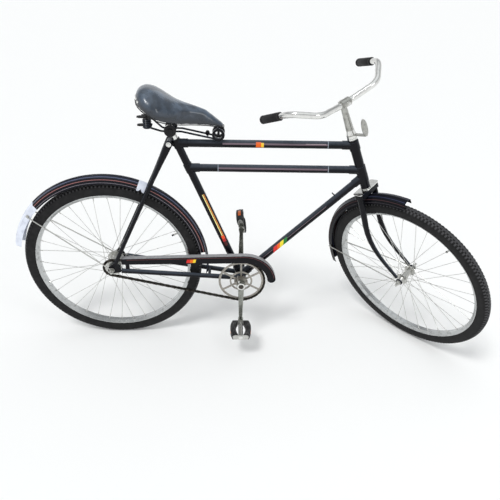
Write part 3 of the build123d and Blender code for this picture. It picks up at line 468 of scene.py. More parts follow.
class Coats:
    """The finishes that the bicycle's pieces share."""

    # Gloss black stove enamel: near black with a blue cast, sharp reflections, and settled dust with a painted
    # blue-grey highlight on top
    BLACK = Enamel("gloss_black_enamel")
    # Chrome plate: a bright mirror that clouds over where it is worn
    CHROME = Metal("chrome_plate")
    # Zinc plate: a greyer, softer shine
    ZINC = Metal("dulled_zinc_plate", base="#c4c4c0", rough=(0.22, 0.4))
    # Rim plate: a grey, softly shining ring with dull patches
    RIM = Metal("satin_rim_plate", base="#bfc1c1", worn="#6e7072", wear=(0.5, 0.75, 0.5), rough=(0.16, 0.32))
    # Tarnished plate: the chainring's warm grey, with brown stains in clouds
    TARNISHED = Metal("tarnished_plate", base="#a29e97", worn="#5d564d", wear=(0.5, 0.75, 0.6), rough=(0.3, 0.5))
    # Worn crank plate: a dull even grey
    CRANK = Metal("worn_crank_plate", base="#93958f", worn="#4d4b47", wear=(0.5, 0.75, 0.5), rough=(0.16, 0.34))
    # Left crank plate: darker than the right one with painted shade, duller and more stained
    SHADED = Metal("stained_shade_painted_crank_plate", base="#74766f", worn="#3a3936", wear=(0.5, 0.75, 0.6), rough=(0.16, 0.36))
    # Worn stem plate: a darker, duller chrome than the bar's
    STEM = Metal("worn_stem_plate", base="#b3b3ae", worn="#5f5b55", wear=(0.5, 0.75, 0.5), rough=(0.2, 0.4))
    # Oiled chain steel: dark brown metal, blackened where the oil holds dirt
    OILED = Metal("oiled_chain_steel", base="#4a4641", worn="#1d1a17", wear=(0.5, 0.75, 0.7), rough=(0.28, 0.5))
    # Block rubber: dark moulded rubber with a little dust
    BLOCK = Rubber("pedal_block_rubber", base="#1f1f20", worn="#4a4a4a")
    # Tyre rubber: matt black
    TYRE = Rubber("tyre_rubber")
    # Grip rubber: a smoother black that hands have polished a little
    GRIP = Rubber("grip_rubber", base="#18181a", worn="#2f2f30", rough=(0.4, 0.65))
    # Pedal rubber: the same moulding, greyed with road dust
    DUSTY = Rubber("dusty_pedal_rubber", base="#343435", worn="#7d7c7b", rough=(0.6, 0.85))
    # Saddle vinyl: a glossy blue-black skin, greyed on top by use and by a painted sky highlight
    VINYL = Vinyl("grained_saddle_vinyl")
    # White plastic: a cold white, dulled by scuffs
    WHITE = Plastic("white_plastic")
    # Amber plastic: glossy orange lenses
    AMBER = Plastic("amber_lens_plastic", base="#d9681a", worn="#b4470f", rough=(0.12, 0.36))


def sideways(y: float = 1.0) -> Vector:
    """Return a way across the bicycle, towards its left."""
    return Vector((0, y, 0))


def turns(count: int) -> list[float]:
    """Return evenly spaced angles round a circle, in radians."""
    return [2 * pi * k / count for k in range(count)]


class Shape:
    """A mesh in the making, in millimetres, with the operators that its pieces share."""

    def __init__(self) -> None:
        """Start an empty mesh."""
        self.mesh = bmesh.new()

    def turned(
        self, outline: Sequence[Pair], place: Matrix, steps: int = 24, angle: float = 360.0
    ) -> list[Face]:
        """Turn an outline about its Y axis.

        Args:
            outline: Points as distance along Y and radius.
            place: Where the turned shape stands.
            steps: Number of steps round.
            angle: Degrees to turn through, from +X towards +Z.

        Returns:
            The faces that were made.
        """
        before = set(self.mesh.faces)
        made = [self.mesh.verts.new((r, y, 0.0)) for y, r in outline]
        edges = [self.mesh.edges.new(pair) for pair in zip(made, made[1:])]
        whole = abs(angle) >= 360.0
        bmesh.ops.spin(
            self.mesh, geom=made + edges, cent=(0, 0, 0), axis=(0, -1, 0), angle=radians(angle), steps=steps,
            use_merge=whole, use_normal_flip=False, use_duplicate=False,
        )
        faces, verts = self.new_since(before)
        bmesh.ops.remove_doubles(self.mesh, verts=verts, dist=0.001)
        faces, verts = self.new_since(before)
        bmesh.ops.transform(self.mesh, matrix=place, verts=verts)
        bmesh.ops.recalc_face_normals(self.mesh, faces=faces)
        return faces

    def new_since(self, before: set[Face]) -> tuple[list[Face], list[bmesh.types.BMVert]]:
        """Return the faces that were made since a note of them was taken, and their vertices."""
        faces = [face for face in self.mesh.faces if face not in before]
        return faces, list({vert for face in faces for vert in face.verts})

    def ring(self, points: Sequence[Vector]) -> list[bmesh.types.BMEdge]:
        """Make a closed loop through some points.

        Args:
            points: The loop's points in order.

        Returns:
            The loop's edges.
        """
        made = bmesh.ops.create_circle(self.mesh, cap_ends=False, segments=len(points), radius=1.0)["verts"]
        edges = list({edge for vert in made for edge in vert.link_edges})
        for vert, point in zip(made, points):
            vert.co = point
        return edges

    def lofted(self, rings: Sequence[Sequence[Vector]], closed: bool = False) -> None:
        """Skin a row of loops.

        Args:
            rings: Loops with the same number of points.
            closed: Whether the last loop joins the first one, or both get a face.
        """
        before = set(self.mesh.faces)
        loops = [self.ring(points) for points in rings]
        pairs = list(zip(loops, loops[1:])) + ([(loops[-1], loops[0])] if closed else [])
        for first, second in pairs:
            bmesh.ops.bridge_loops(self.mesh, edges=first + second)
        if not closed:
            for loop in (loops[0], loops[-1]):
                bmesh.ops.edgeloop_fill(self.mesh, edges=loop)
        bmesh.ops.recalc_face_normals(self.mesh, faces=self.new_since(before)[0])

    def tube(self, points: Sequence[Vector], radius: float, sides: int = 8, closed: bool = False) -> None:
        """Run a round wire through some points.

        Args:
            points: Points along the wire's middle.
            radius: The wire's radius.
            sides: Number of sides round.
            closed: Whether the wire is a loop.
        """
        count = len(points)
        rings = []
        side = sideways()
        for index, point in enumerate(points):
            ahead = points[(index + 1) % count] if closed or index + 1 < count else point
            behind = points[index - 1] if closed or index else point
            way = (ahead - behind).normalized()
            side = (side - way * side.dot(way)).normalized()
            up = way.cross(side)
            rings.append([point + (side * cos(turn) + up * sin(turn)) * radius for turn in turns(sides)])
        self.lofted(rings, closed)

    def hex_bolt(self, place: Matrix, width: float, height: float, washer: float = 0.0) -> None:
        """Add a chamfered hexagon head or nut on a washer, standing up +Y.

        Args:
            place: Where it stands.
            width: Width over its corners.
            height: Height of the hexagon.
            washer: Diameter of the washer under it, or none.
        """
        base = 0.0
        if washer:
            base, rim, edge = 1.2, washer / 2, 0.3
            outline = [
                (0, 0), (0, rim - edge), (edge, rim), (base - edge, rim), (base, rim - edge), (base, 0)
            ]
            self.turned(outline, place, 20)
        rings = []
        for up, share in ((base, 1.0), (base + height * 0.8, 1.0), (base + height, 0.84)):
            reach = width / 2 * share
            rings.append([place @ Vector((cos(turn) * reach, up, sin(turn) * reach)) for turn in turns(6)])
        self.lofted(rings)

    def piece(self, name: str, finish: Finish, body: str, slot: str, smooth: float = 35.0) -> bpy.types.Object:
        """Finish the mesh as a piece of the bicycle.

        Args:
            name: The piece's name.
            finish: Its finish.
            body: Body it moves with.
            slot: The record's material slot; not used.
            smooth: Degrees below which an edge is shaded smooth.

        Returns:
            The new object.
        """
        bmesh.ops.scale(self.mesh, vec=(MM, MM, MM), verts=self.mesh.verts)
        for face in self.mesh.faces:
            face.smooth = True
        for edge in self.mesh.edges:
            edge.smooth = len(edge.link_faces) != 2 or edge.calc_face_angle(0.0) < radians(smooth)
        data = bpy.data.meshes.new(name)
        self.mesh.to_mesh(data)
        self.mesh.free()
        data.materials.append(finish.material())
        piece = bpy.data.objects.new(name, data)
        bpy.context.scene.collection.objects.link(piece)
        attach(piece, body)
        log.info("%s: %d faces on %s", name, len(data.polygons), body)
        return piece


def along_y(point: Vector, way: Vector) -> Matrix:
    """Place a shape that stands up +Y.

    Args:
        point: Where its foot stands.
        way: Direction that it points to.

    Returns:
        The place as a matrix.
    """
    return Matrix.Translation(point) @ sideways().rotation_difference(way).to_matrix().to_4x4()


@dataclass
class Layout3D:
    """The bicycle's main points in millimetres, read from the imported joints."""

    frame: dict[str, Any]
    steer_deg: float = 48.0
    bar_askew: float = 10.0
    rear_guard_offset: Triple = (-4.5, 0.0, 4.0)

    def __post_init__(self) -> None:
        """Read the joints."""
        joints = {joint["name"]: joint for joint in self.frame["joints"]}
        spots = {name: Vector(joint["pos_m"]) / MM for name, joint in joints.items()}
        self.bracket, self.rear, self.head = spots["crank_spin"], spots["rear_wheel_spin"], spots["steering"]
        self.rear_guard = self.rear + Vector(self.rear_guard_offset)
        self.pedals = {name: spots[f"{name}_spin"] for name in ("pedal_right", "pedal_left")}
        self.head_way = Vector(joints["steering"]["axis"]).normalized()
        self.fork = self.turned_by(self.steer_deg)
        self.bar = self.turned_by(self.steer_deg + self.bar_askew)
        self.front_straight = self.fork.inverted() @ spots["front_wheel_spin"]
        self.front_place = self.fork @ Matrix.Translation(self.front_straight)
        self.fork_way = Vector((self.head_way.z, 0, -self.head_way.x))

    def turned_by(self, angle: float) -> Matrix:
        """Turn about the steering axis.

        Args:
            angle: Degrees to the right.

        Returns:
            The turn as a matrix.
        """
        away = Matrix.Translation(self.head)
        return away @ Matrix.Rotation(radians(-angle), 4, self.head_way) @ away.inverted()

    def paint(self, node: str, finish: Finish) -> None:
        """Give all of a CAD node its finish."""
        for slot in self.frame["nodes"][node].material_slots:
            slot.material = finish.material()


def outward(turn: float) -> Vector:
    """Return the way out from the Y axis at an angle in radians, from +X towards +Z."""
    return Vector((cos(turn), 0, sin(turn)))


def in_metres(place: Matrix) -> Matrix:
    """Return a place in millimetres as one in metres."""
    moved = place.copy()
    moved.translation = place.to_translation() * MM
    return moved


@dataclass
class Studio:
    """Camera of the photograph, pale floor and soft light."""

    target: Triple = (0.3255, 0.0, -0.64725)
    distance: float = 2.3037
    azimuth: float = -2.13
    elevation: float = 32.59
    roll: float = -1.6
    lens: float = 40.32
    floor_z: float = -1.0702
    floor_colour: str = "#f7f7f6"
    sky: float = 0.96
    sun: float = 1.3

    def build(self) -> None:
        """Set up the camera, the floor, the lamps and the sky."""
        self.build_camera()
        self.build_floor()
        self.build_light()
        bpy.context.scene.view_settings.view_transform = "Standard"

    def build_camera(self) -> None:
        """Stand the camera at the photograph's viewing angle."""
        turn, rise, tilt = radians(self.azimuth), radians(self.elevation), radians(self.roll)
        look = Vector((-sin(turn) * cos(rise), cos(turn) * cos(rise), -sin(rise)))
        right = Vector((cos(turn), sin(turn), 0))
        down = look.cross(right)
        image_right = right * cos(tilt) + down * sin(tilt)
        image_down = down * cos(tilt) - right * sin(tilt)
        data = bpy.data.cameras.new("camera")
        data.lens = self.lens
        data.sensor_width = 36.0
        camera = bpy.data.objects.new("camera", data)
        axes = Matrix((image_right, -image_down, -look)).transposed().to_4x4()
        camera.matrix_world = Matrix.Translation(Vector(self.target) - look * self.distance) @ axes
        bpy.context.scene.collection.objects.link(camera)
        bpy.context.scene.camera = camera

    def build_floor(self) -> None:
        """Lay a wide pale floor."""
        mesh = bmesh.new()
        bmesh.ops.create_grid(mesh, x_segments=1, y_segments=1, size=30.0)
        bmesh.ops.translate(mesh, vec=(0, 0, self.floor_z), verts=mesh.verts)
        data = bpy.data.meshes.new("floor")
        mesh.to_mesh(data)
        mesh.free()
        # Painted studio floor: an even pale surface with no gloss
        material = bpy.data.materials.new("pale_floor_paint")
        material.use_nodes = True
        shader = material.node_tree.nodes["Principled BSDF"]
        shader.inputs["Base Color"].default_value = linear(self.floor_colour)
        shader.inputs["Roughness"].default_value = 0.9
        shader.inputs["Specular IOR Level"].default_value = 0.1
        data.materials.append(material)
        floor = bpy.data.objects.new("floor", data)
        bpy.context.scene.collection.objects.link(floor)

    def build_light(self) -> None:
        """Light the bicycle with a sky that is bright overhead, a hazy sun and a soft lamp."""
        world = bpy.data.worlds.new("hazy_sky")
        bpy.context.scene.world = world
        world.use_nodes = True
        tree = world.node_tree
        tree.nodes.clear()
        way = add_node(tree, "TexCoord").outputs["Generated"]
        height = add_node(tree, "SeparateXYZ", {0: way}).outputs["Z"]
        sky = add_node(tree, "ValToRGB", {"Fac": height})
        stops = sky.color_ramp.elements
        stops[0].position, stops[0].color = 0.4, (0.9, 0.91, 0.92, 1)
        stops[1].position, stops[1].color = 0.95, (0.95, 0.98, 1.0, 1)
        middle = stops.new(0.6)
        middle.color = (0.34, 0.35, 0.36, 1)
        back = add_node(tree, "Background", {"Color": sky, "Strength": self.sky})
        add_node(tree, "OutputWorld", {"Surface": back})
        for name, kind, spot, spread, power in (
            ("hazy_sun", "SUN", (-0.9, -1.5, 2.6), radians(16.0), self.sun),
            ("soft_lamp", "AREA", (1.9, -2.2, 1.9), 0.9, 9.0),
        ):
            data = bpy.data.lights.new(name, kind)
            data.energy = power
            if kind == "SUN":
                data.angle = spread
            else:
                data.size = spread
            lamp = bpy.data.objects.new(name, data)
            aim = Vector(self.target) - Vector(spot)
            lamp.matrix_world = Matrix.Translation(spot) @ aim.to_track_quat("-Z", "Y").to_matrix().to_4x4()
            bpy.context.scene.collection.objects.link(lamp)


@dataclass
class Wheel:
    """One wheel: a tyre with a block tread, the spoke nipples and the valve."""

    name: str
    body: str
    place: Matrix
    valve_angle: float
    tread_steps: int = 300
    block_rise: float = 2.8
    block_slope: float = 0.5
    ground_r: float = 357.0
    nipple_r: float = 302.6
    spoke_count: int = 36
    spoke_rim_y: float = 3.0
    # Half of the tyre's section from its bead to the middle of the tread: distance from the middle, radius
    section: tuple[Pair, ...] = (
        (14.2, 318.4), (14.2, 320.6), (16.8, 321.4), (16.9, 316.2), (17.7, 315.2), (18.6, 316.6), (19.0, 319.0),
        (18.8, 321.5), (19.4, 326.0), (20.0, 333.0), (20.0, 340.0), (19.0, 345.5), (15.6, 350.8), (10.4, 354.6),
        (4.6, 356.6),
    )
    tread_from: int = 10

    def build(self) -> None:
        """Build the wheel's pieces."""
        self.build_tyre()
        self.build_nipples()
        self.build_valve()

    def build_tyre(self) -> None:
        """Turn the tyre and raise its tread blocks."""
        # Tyre rubber: matt black walls, with the tops of the blocks scuffed grey and painted lighter as if lit
        rubber = Rubber(f"{self.name}_tyre_rubber", in_metres(self.place), tread_r=self.ground_r)
        shape = Shape()
        half = list(self.section)
        outline = half + [(-y, r) for y, r in reversed(half)]
        outline.append(outline[0])
        faces = shape.turned(outline, Matrix.Identity(4), self.tread_steps)
        pitch = 2 * pi / self.tread_steps
        edges_y = [y for y, r in half[self.tread_from :]]
        blocks = []
        for face in faces:
            middle = face.calc_center_median()
            if hypot(middle.x, middle.z) < half[self.tread_from][1]:
                continue
            step = int((atan2(middle.z, middle.x) + pi) / pitch)
            strip = sum(1 for y in edges_y if abs(middle.y) < y)
            if (step + strip // 2) % 2 == 0 or strip == len(edges_y):
                blocks.append(face)
        bmesh.ops.inset_individual(shape.mesh, faces=blocks, thickness=self.block_slope, depth=0.0)
        lifted = bmesh.ops.extrude_discrete_faces(shape.mesh, faces=blocks)["faces"]
        for face in lifted:
            middle = face.calc_center_median()
            out = Vector((middle.x, 0, middle.z)).normalized()
            bmesh.ops.translate(shape.mesh, vec=out * self.block_rise, verts=face.verts)
        bmesh.ops.transform(shape.mesh, matrix=self.place, verts=shape.mesh.verts)
        tyre = shape.piece(f"{self.name}_tyre_tread", rubber, self.body, "tyre_rubber")
        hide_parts(f"{self.name}_tyre")

    def build_nipples(self) -> None:
        """Add the spokes' nipples in the rim."""
        shape = Shape()
        for index, turn in enumerate(turns(self.spoke_count)):
            out = outward(turn)
            side = self.spoke_rim_y * (1 if index % 2 else -1)
            foot = out * self.nipple_r + sideways(side)
            shape.turned(
                [(0, 0), (0, 2.6), (1.6, 2.6), (2.6, 1.9), (11.0, 1.7), (12.0, 1.3)],
                self.place @ along_y(foot, -out), 8,
            )
        shape.piece(f"{self.name}_nipples", Coats.ZINC, self.body, "bright_steel")

    def build_valve(self) -> None:
        """Add the valve with its nut and cap."""
        out = outward(radians(self.valve_angle))
        stand = self.place @ along_y(out * self.nipple_r, -out)
        shape = Shape()
        shape.hex_bolt(stand, 12.0, 4.0)
        shape.turned([(3, 0), (3, 3.4), (18, 3.4), (18.6, 3.0), (19, 2.6), (19, 0)], stand, 12)
        shape.piece(f"{self.name}_valve", Coats.ZINC, self.body, "bright_steel")
        cap = Shape()
        cap.turned([(19.2, 0), (19.2, 3.8), (26, 3.8), (28, 2.8), (28.6, 0)], stand, 12)
        cap.piece(f"{self.name}_valve_cap", Coats.GRIP, self.body, "black_rubber")


@dataclass
class Saddle:
    """Padded vinyl cover, drawn in rows along the saddle, and its fittings."""

    # Along from the seat point, half width, top, skirt edge
    rows: tuple[Four, ...] = (
        (-85.0, 36.0, 1.0, -16.0), (-80.0, 56.0, 11.0, -25.0), (-72.0, 71.0, 18.0, -32.0),
        (-60.0, 84.0, 22.5, -39.5), (-48.0, 93.0, 22.5, -45.0), (-28.0, 101.0, 15.5, -57.5),
        (-8.0, 103.0, 5.0, -68.0), (18.0, 93.0, -11.0, -79.0), (44.0, 79.5, -26.0, -88.0),
        (72.0, 61.0, -35.0, -95.0), (100.0, 45.0, -42.0, -100.0), (128.0, 35.5, -50.5, -103.5),
        (156.0, 29.0, -61.0, -106.5), (178.0, 26.0, -76.0, -110.0), (196.0, 22.5, -91.0, -112.5),
        (210.0, 17.5, -102.5, -116.0), (219.0, 12.0, -110.0, -118.5),
    )
    # Rivets round the back: along, aside and up
    rivets: tuple[Triple, ...] = (
        (-84.5, 0.0, -6.0), (-83.0, 30.0, -4.0), (-79.5, 50.0, -8.0), (-72.0, 66.0, -14.0)
    )
    # Yokes of the rear coils: heights, and rows as along and half width
    yoke_up: Pair = (-71.0, -100.0)
    yoke_y: float = 50.0
    yoke_rows: tuple[Pair, ...] = ((-82.0, 5.0), (-74.0, 9.0), (-48.0, 12.0), (-30.0, 9.0))
    clamp_y: float = 22.3
    pad_inset: float = 1.5
    piping_r: float = 1.8
    around: int = 44
    voxel: float = 4.5
    shoulder_curve: float = 0.86
    crown_curve: float = 0.9
    tuck: float = 0.4
    swell: float = 2.0
    pressure: float = 4.0
    stiffness: float = 30.0
    frames: int = 20
    smoothing: int = 3
    clamp: Pair = (27.45, -131.0)

    def section(self, half: float, top: float, edge: float, along: float, inset: float) -> list[Vector]:
        """Draw one row of the cover.

        Args:
            half: Half width.
            top: Height of the middle.
            edge: Height of the skirt's edge.
            along: Place along the saddle.
            inset: How far inside the outline to stay.

        Returns:
            The row's closed loop of points.
        """
        points = []
        for turn in turns(self.around):
            across, up = cos(turn), sin(turn)
            if up >= 0:
                shoulder = abs(across) ** self.shoulder_curve
                y = (half - inset) * (shoulder if across >= 0 else -shoulder)
                z = edge + (top - inset - edge) * up**self.crown_curve
            else:
                y = (half - inset) * across
                z = edge + inset * self.tuck * -up
            points.append(Vector((along, y, z)))
        return points

    def build(self) -> None:
        """Build the cover and its trim."""
        cover = self.build_cover()
        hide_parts("saddle_cover")
        self.build_piping()
        self.build_rivets()
        self.build_yokes()

    def build_cover(self) -> bpy.types.Object:
        """Loft the cover and swell it as stuffed vinyl.

        Returns:
            The cover.
        """
        shape = Shape()
        shape.lofted([self.section(half, top, edge, along, self.pad_inset) for along, half, top, edge in self.rows])
        cover = shape.piece("saddle_pad", Coats.VINYL, "frame", "saddle_vinyl", 80.0)
        remesh = cover.modifiers.new("remesh", "REMESH")
        remesh.mode = "VOXEL"
        remesh.voxel_size = self.voxel * MM
        self.apply(cover)
        self.inflate(cover)
        mesh = bmesh.new()
        mesh.from_mesh(cover.data)
        for _ in range(self.smoothing):
            bmesh.ops.smooth_vert(
                mesh, verts=mesh.verts, factor=0.5, use_axis_x=True, use_axis_y=True, use_axis_z=True
            )
        for face in mesh.faces:
            face.smooth = True
        mesh.to_mesh(cover.data)
        mesh.free()
        finer = cover.modifiers.new("finer", "SUBSURF")
        finer.levels = finer.render_levels = 1
        return cover

    @staticmethod
    def apply(piece: bpy.types.Object) -> None:
        """Apply a piece's modifiers to its mesh.

        Args:
            piece: The piece.
        """
        depsgraph = bpy.context.evaluated_depsgraph_get()
        data = bpy.data.meshes.new_from_object(piece.evaluated_get(depsgraph))
        piece.modifiers.clear()
        piece.data = data

    def inflate(self, cover: bpy.types.Object) -> None:
        """Swell the cover by a short cloth simulation, within a cap.

        Args:
            cover: The cover.
        """
        start = [(vert.co.copy(), vert.normal.copy()) for vert in cover.data.vertices]
        cloth = cover.modifiers.new("cloth", "CLOTH")
        cloth.settings.use_pressure = True
        cloth.settings.uniform_pressure_force = self.pressure
        cloth.settings.effector_weights.gravity = 0.0
        cloth.settings.tension_stiffness = cloth.settings.compression_stiffness = self.stiffness
        scene = bpy.context.scene
        for number in range(1, self.frames + 1):
            scene.frame_set(number)
        self.apply(cover)
        scene.frame_set(1)
        for vert, (origin, out) in zip(cover.data.vertices, start):
            # The skirt stays on its piping, so the cover only moves outwards
            vert.co = origin + out * min(max((vert.co - origin).dot(out), 0.0), self.swell * MM)
        log.info("saddle_pad swelled with cloth")

    def build_piping(self) -> None:
        """Run the piping along the skirt's edge."""
        right, left = (
            [Vector((along, side * (half - 1.0), edge - 0.2)) for along, half, top, edge in self.rows]
            for side in (-1, 1)
        )
        shape = Shape()
        shape.tube(right + left[::-1], self.piping_r, closed=True)
        shape.piece("saddle_piping", Coats.GRIP, "frame", "black_rubber", 80.0)

    def build_rivets(self) -> None:
        """Add the rivets round the back of the cover."""
        shape = Shape()
        for along, aside, up in self.rivets:
            for side in (-1, 1) if aside else (1,):
                way = Vector((-1.0, side * aside / 60, 0.25)).normalized()
                shape.turned(
                    [(0, 0), (0, 4.6), (1.0, 4.3), (1.8, 3.2), (2.2, 1.6), (2.3, 0)],
                    along_y(Vector((along, side * aside, up)), way), 14,
                )
        shape.piece("saddle_rivets", Coats.CHROME, "frame", "chrome")

    def build_yokes(self) -> None:
        """Add the flat yokes above and below the rear coils and the plates of the clamp."""
        shape = Shape()
        for side in (-1, 1):
            for up in self.yoke_up:
                rings = []
                for along, wide in self.yoke_rows:
                    corners = ((-1, -2), (1, -2), (1, 2), (-1, 2))
                    rings.append([Vector((along, side * self.yoke_y + y * wide, up + z)) for y, z in corners])
                shape.lofted(rings)
            foot = Vector((self.clamp[0], side * self.clamp_y, self.clamp[1]))
            shape.turned(
                [(0, 0), (0, 21.0), (1.0, 22.0), (5.0, 22.0), (6.0, 21.0), (6.0, 10.0), (10.0, 9.0), (10.0, 0)],
                along_y(foot, sideways(side)), 24,
            )
        shape.piece("saddle_yokes", Coats.GRIP, "frame", "black_enamel")


@dataclass
class Steering:
    """Grips of the bar, bolts of the stem and blades of the fork."""

    plan: Layout3D
    head_top: float = 180.0
    grip_end: Triple = (-159.0, 238.0, 205.0)
    grip_root: Triple = (-12.0, 210.0, 230.0)
    grip_length: float = 104.0
    grip_r: float = 15.2
    grip_ribs: int = 30
    grip_past: float = 3.0
    ribs_from: float = 10.0
    ribs_short: float = 16.0
    rib_depth: float = 0.055
    clamp_ahead: float = 14.0
    clamp_up: float = 170.0
    blade_y: float = 45.0
    # Rows of a fork blade: ahead of the steering axis, up it, half its depth and half its breadth
    blade_rows: tuple[Four, ...] = (
        (0.0, -27.8, 13.4, 11.0), (-2.0, -70.0, 13.4, 11.0), (-6.5, -115.0, 13.0, 10.8), (-11.5, -160.0, 12.4, 10.4),
        (-13.0, -195.0, 11.8, 10.0), (-10.0, -232.0, 11.0, 9.4), (-1.0, -266.0, 10.2, 8.8), (13.0, -300.0, 9.2, 8.0),
        (32.0, -334.0, 8.2, 7.4), (54.0, -366.0, 7.4, 6.8), (78.0, -400.0, 6.6, 6.2),
    )
    # Inner and outer face of a fork end, and its radius
    fork_end: Triple = (46.3, 51.3, 14.0)

    def point(self, ahead: float, aside: float, up: float) -> Vector:
        """Return a point ahead of the steering axis, aside and up from the top tube's joint."""
        plan = self.plan
        return plan.head + plan.head_way * (self.head_top + up) + plan.fork_way * ahead + sideways(aside)

    def build(self) -> None:
        """Build the bar's and the fork's pieces."""
        self.build_grips()
        self.build_bolts()
        self.build_blades()

    def build_grips(self) -> None:
        """Make the ribbed grips."""
        shape = Shape()
        long, count = self.grip_length, self.grip_ribs * 2
        outline = (
            (0.0, 0.90), (1.2, 1.0), (5.0, 1.0), (6.0, 0.93), (9.0, 0.93), (self.ribs_from, 1.0),
            (long - self.ribs_short, 1.0), (long - 15, 0.93), (long - 12, 0.93), (long - 11, 1.0), (long - 5, 1.0),
            (long - 2, 0.86), (long - 0.4, 0.6), (long, 0.25),
        )
        for side in (-1, 1):
            end, root = (
                self.point(ahead, side * aside, up) for ahead, aside, up in (self.grip_end, self.grip_root)
            )
            way = (end - root).normalized()
            stand = self.plan.bar @ along_y(end + way * self.grip_past - way * long, way)
            rings = []
            for up, share in outline:
                ribbed = self.rib_depth if self.ribs_from <= up <= long - self.ribs_short else 0.0
                reach = [self.grip_r * share * (1 - ribbed * (k % 2)) for k in range(count)]
                rings.append(
                    [stand @ Vector((cos(turn) * r, up, sin(turn) * r)) for turn, r in zip(turns(count), reach)]
                )
            shape.lofted(rings)
        grips = shape.piece("ribbed_grips", Coats.GRIP, "fork", "black_rubber", 50.0)
        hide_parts("grips")

    def build_bolts(self) -> None:
        """Add the stem's expander bolt and the bar clamp's bolt."""
        plan = self.plan
        shape = Shape()
        top = self.point(0, 0, self.clamp_up + 4.0)
        shape.hex_bolt(plan.fork @ along_y(top, plan.head_way), 13.0, 6.0, 18.0)
        back = self.point(self.clamp_ahead + 15.0, 0.0, self.clamp_up - 3.0)
        shape.hex_bolt(plan.fork @ along_y(back, plan.fork_way), 12.0, 5.0, 15.0)
        shape.piece("bar_bolts", Coats.CHROME, "fork", "chrome")

    def build_blades(self) -> None:
        """Sweep the oval fork blades, bowed back and then forward to their ends."""
        plan = self.plan
        shape = Shape()
        rows = self.blade_rows
        spots = [plan.head + plan.fork_way * row[0] + plan.head_way * row[1] for row in rows]
        inner, outer, end_r = self.fork_end
        outline = [
            (inner, 0), (inner, end_r - 1), (inner + 1, end_r), (outer - 1, end_r), (outer, end_r - 1), (outer, 0)
        ]
        for side in (-1, 1):
            rings = []
            for index, (spot, (_, _, deep, broad)) in enumerate(zip(spots, rows)):
                way = (spots[min(index + 1, len(spots) - 1)] - spots[max(index - 1, 0)]).normalized()
                deep_way = way.cross(sideways())
                middle = spot + sideways(side * self.blade_y)
                loop = [deep_way * (cos(turn) * deep) + sideways(sin(turn) * broad) for turn in turns(16)]
                rings.append([plan.fork @ (middle + reach) for reach in loop])
            shape.lofted(rings)
            shape.turned(outline, plan.fork @ along_y(plan.front_straight, sideways(side)), 24)
        blades = shape.piece("bowed_fork_blades", Coats.BLACK, "fork", "black_enamel", 50.0)
        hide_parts("fork_blades")


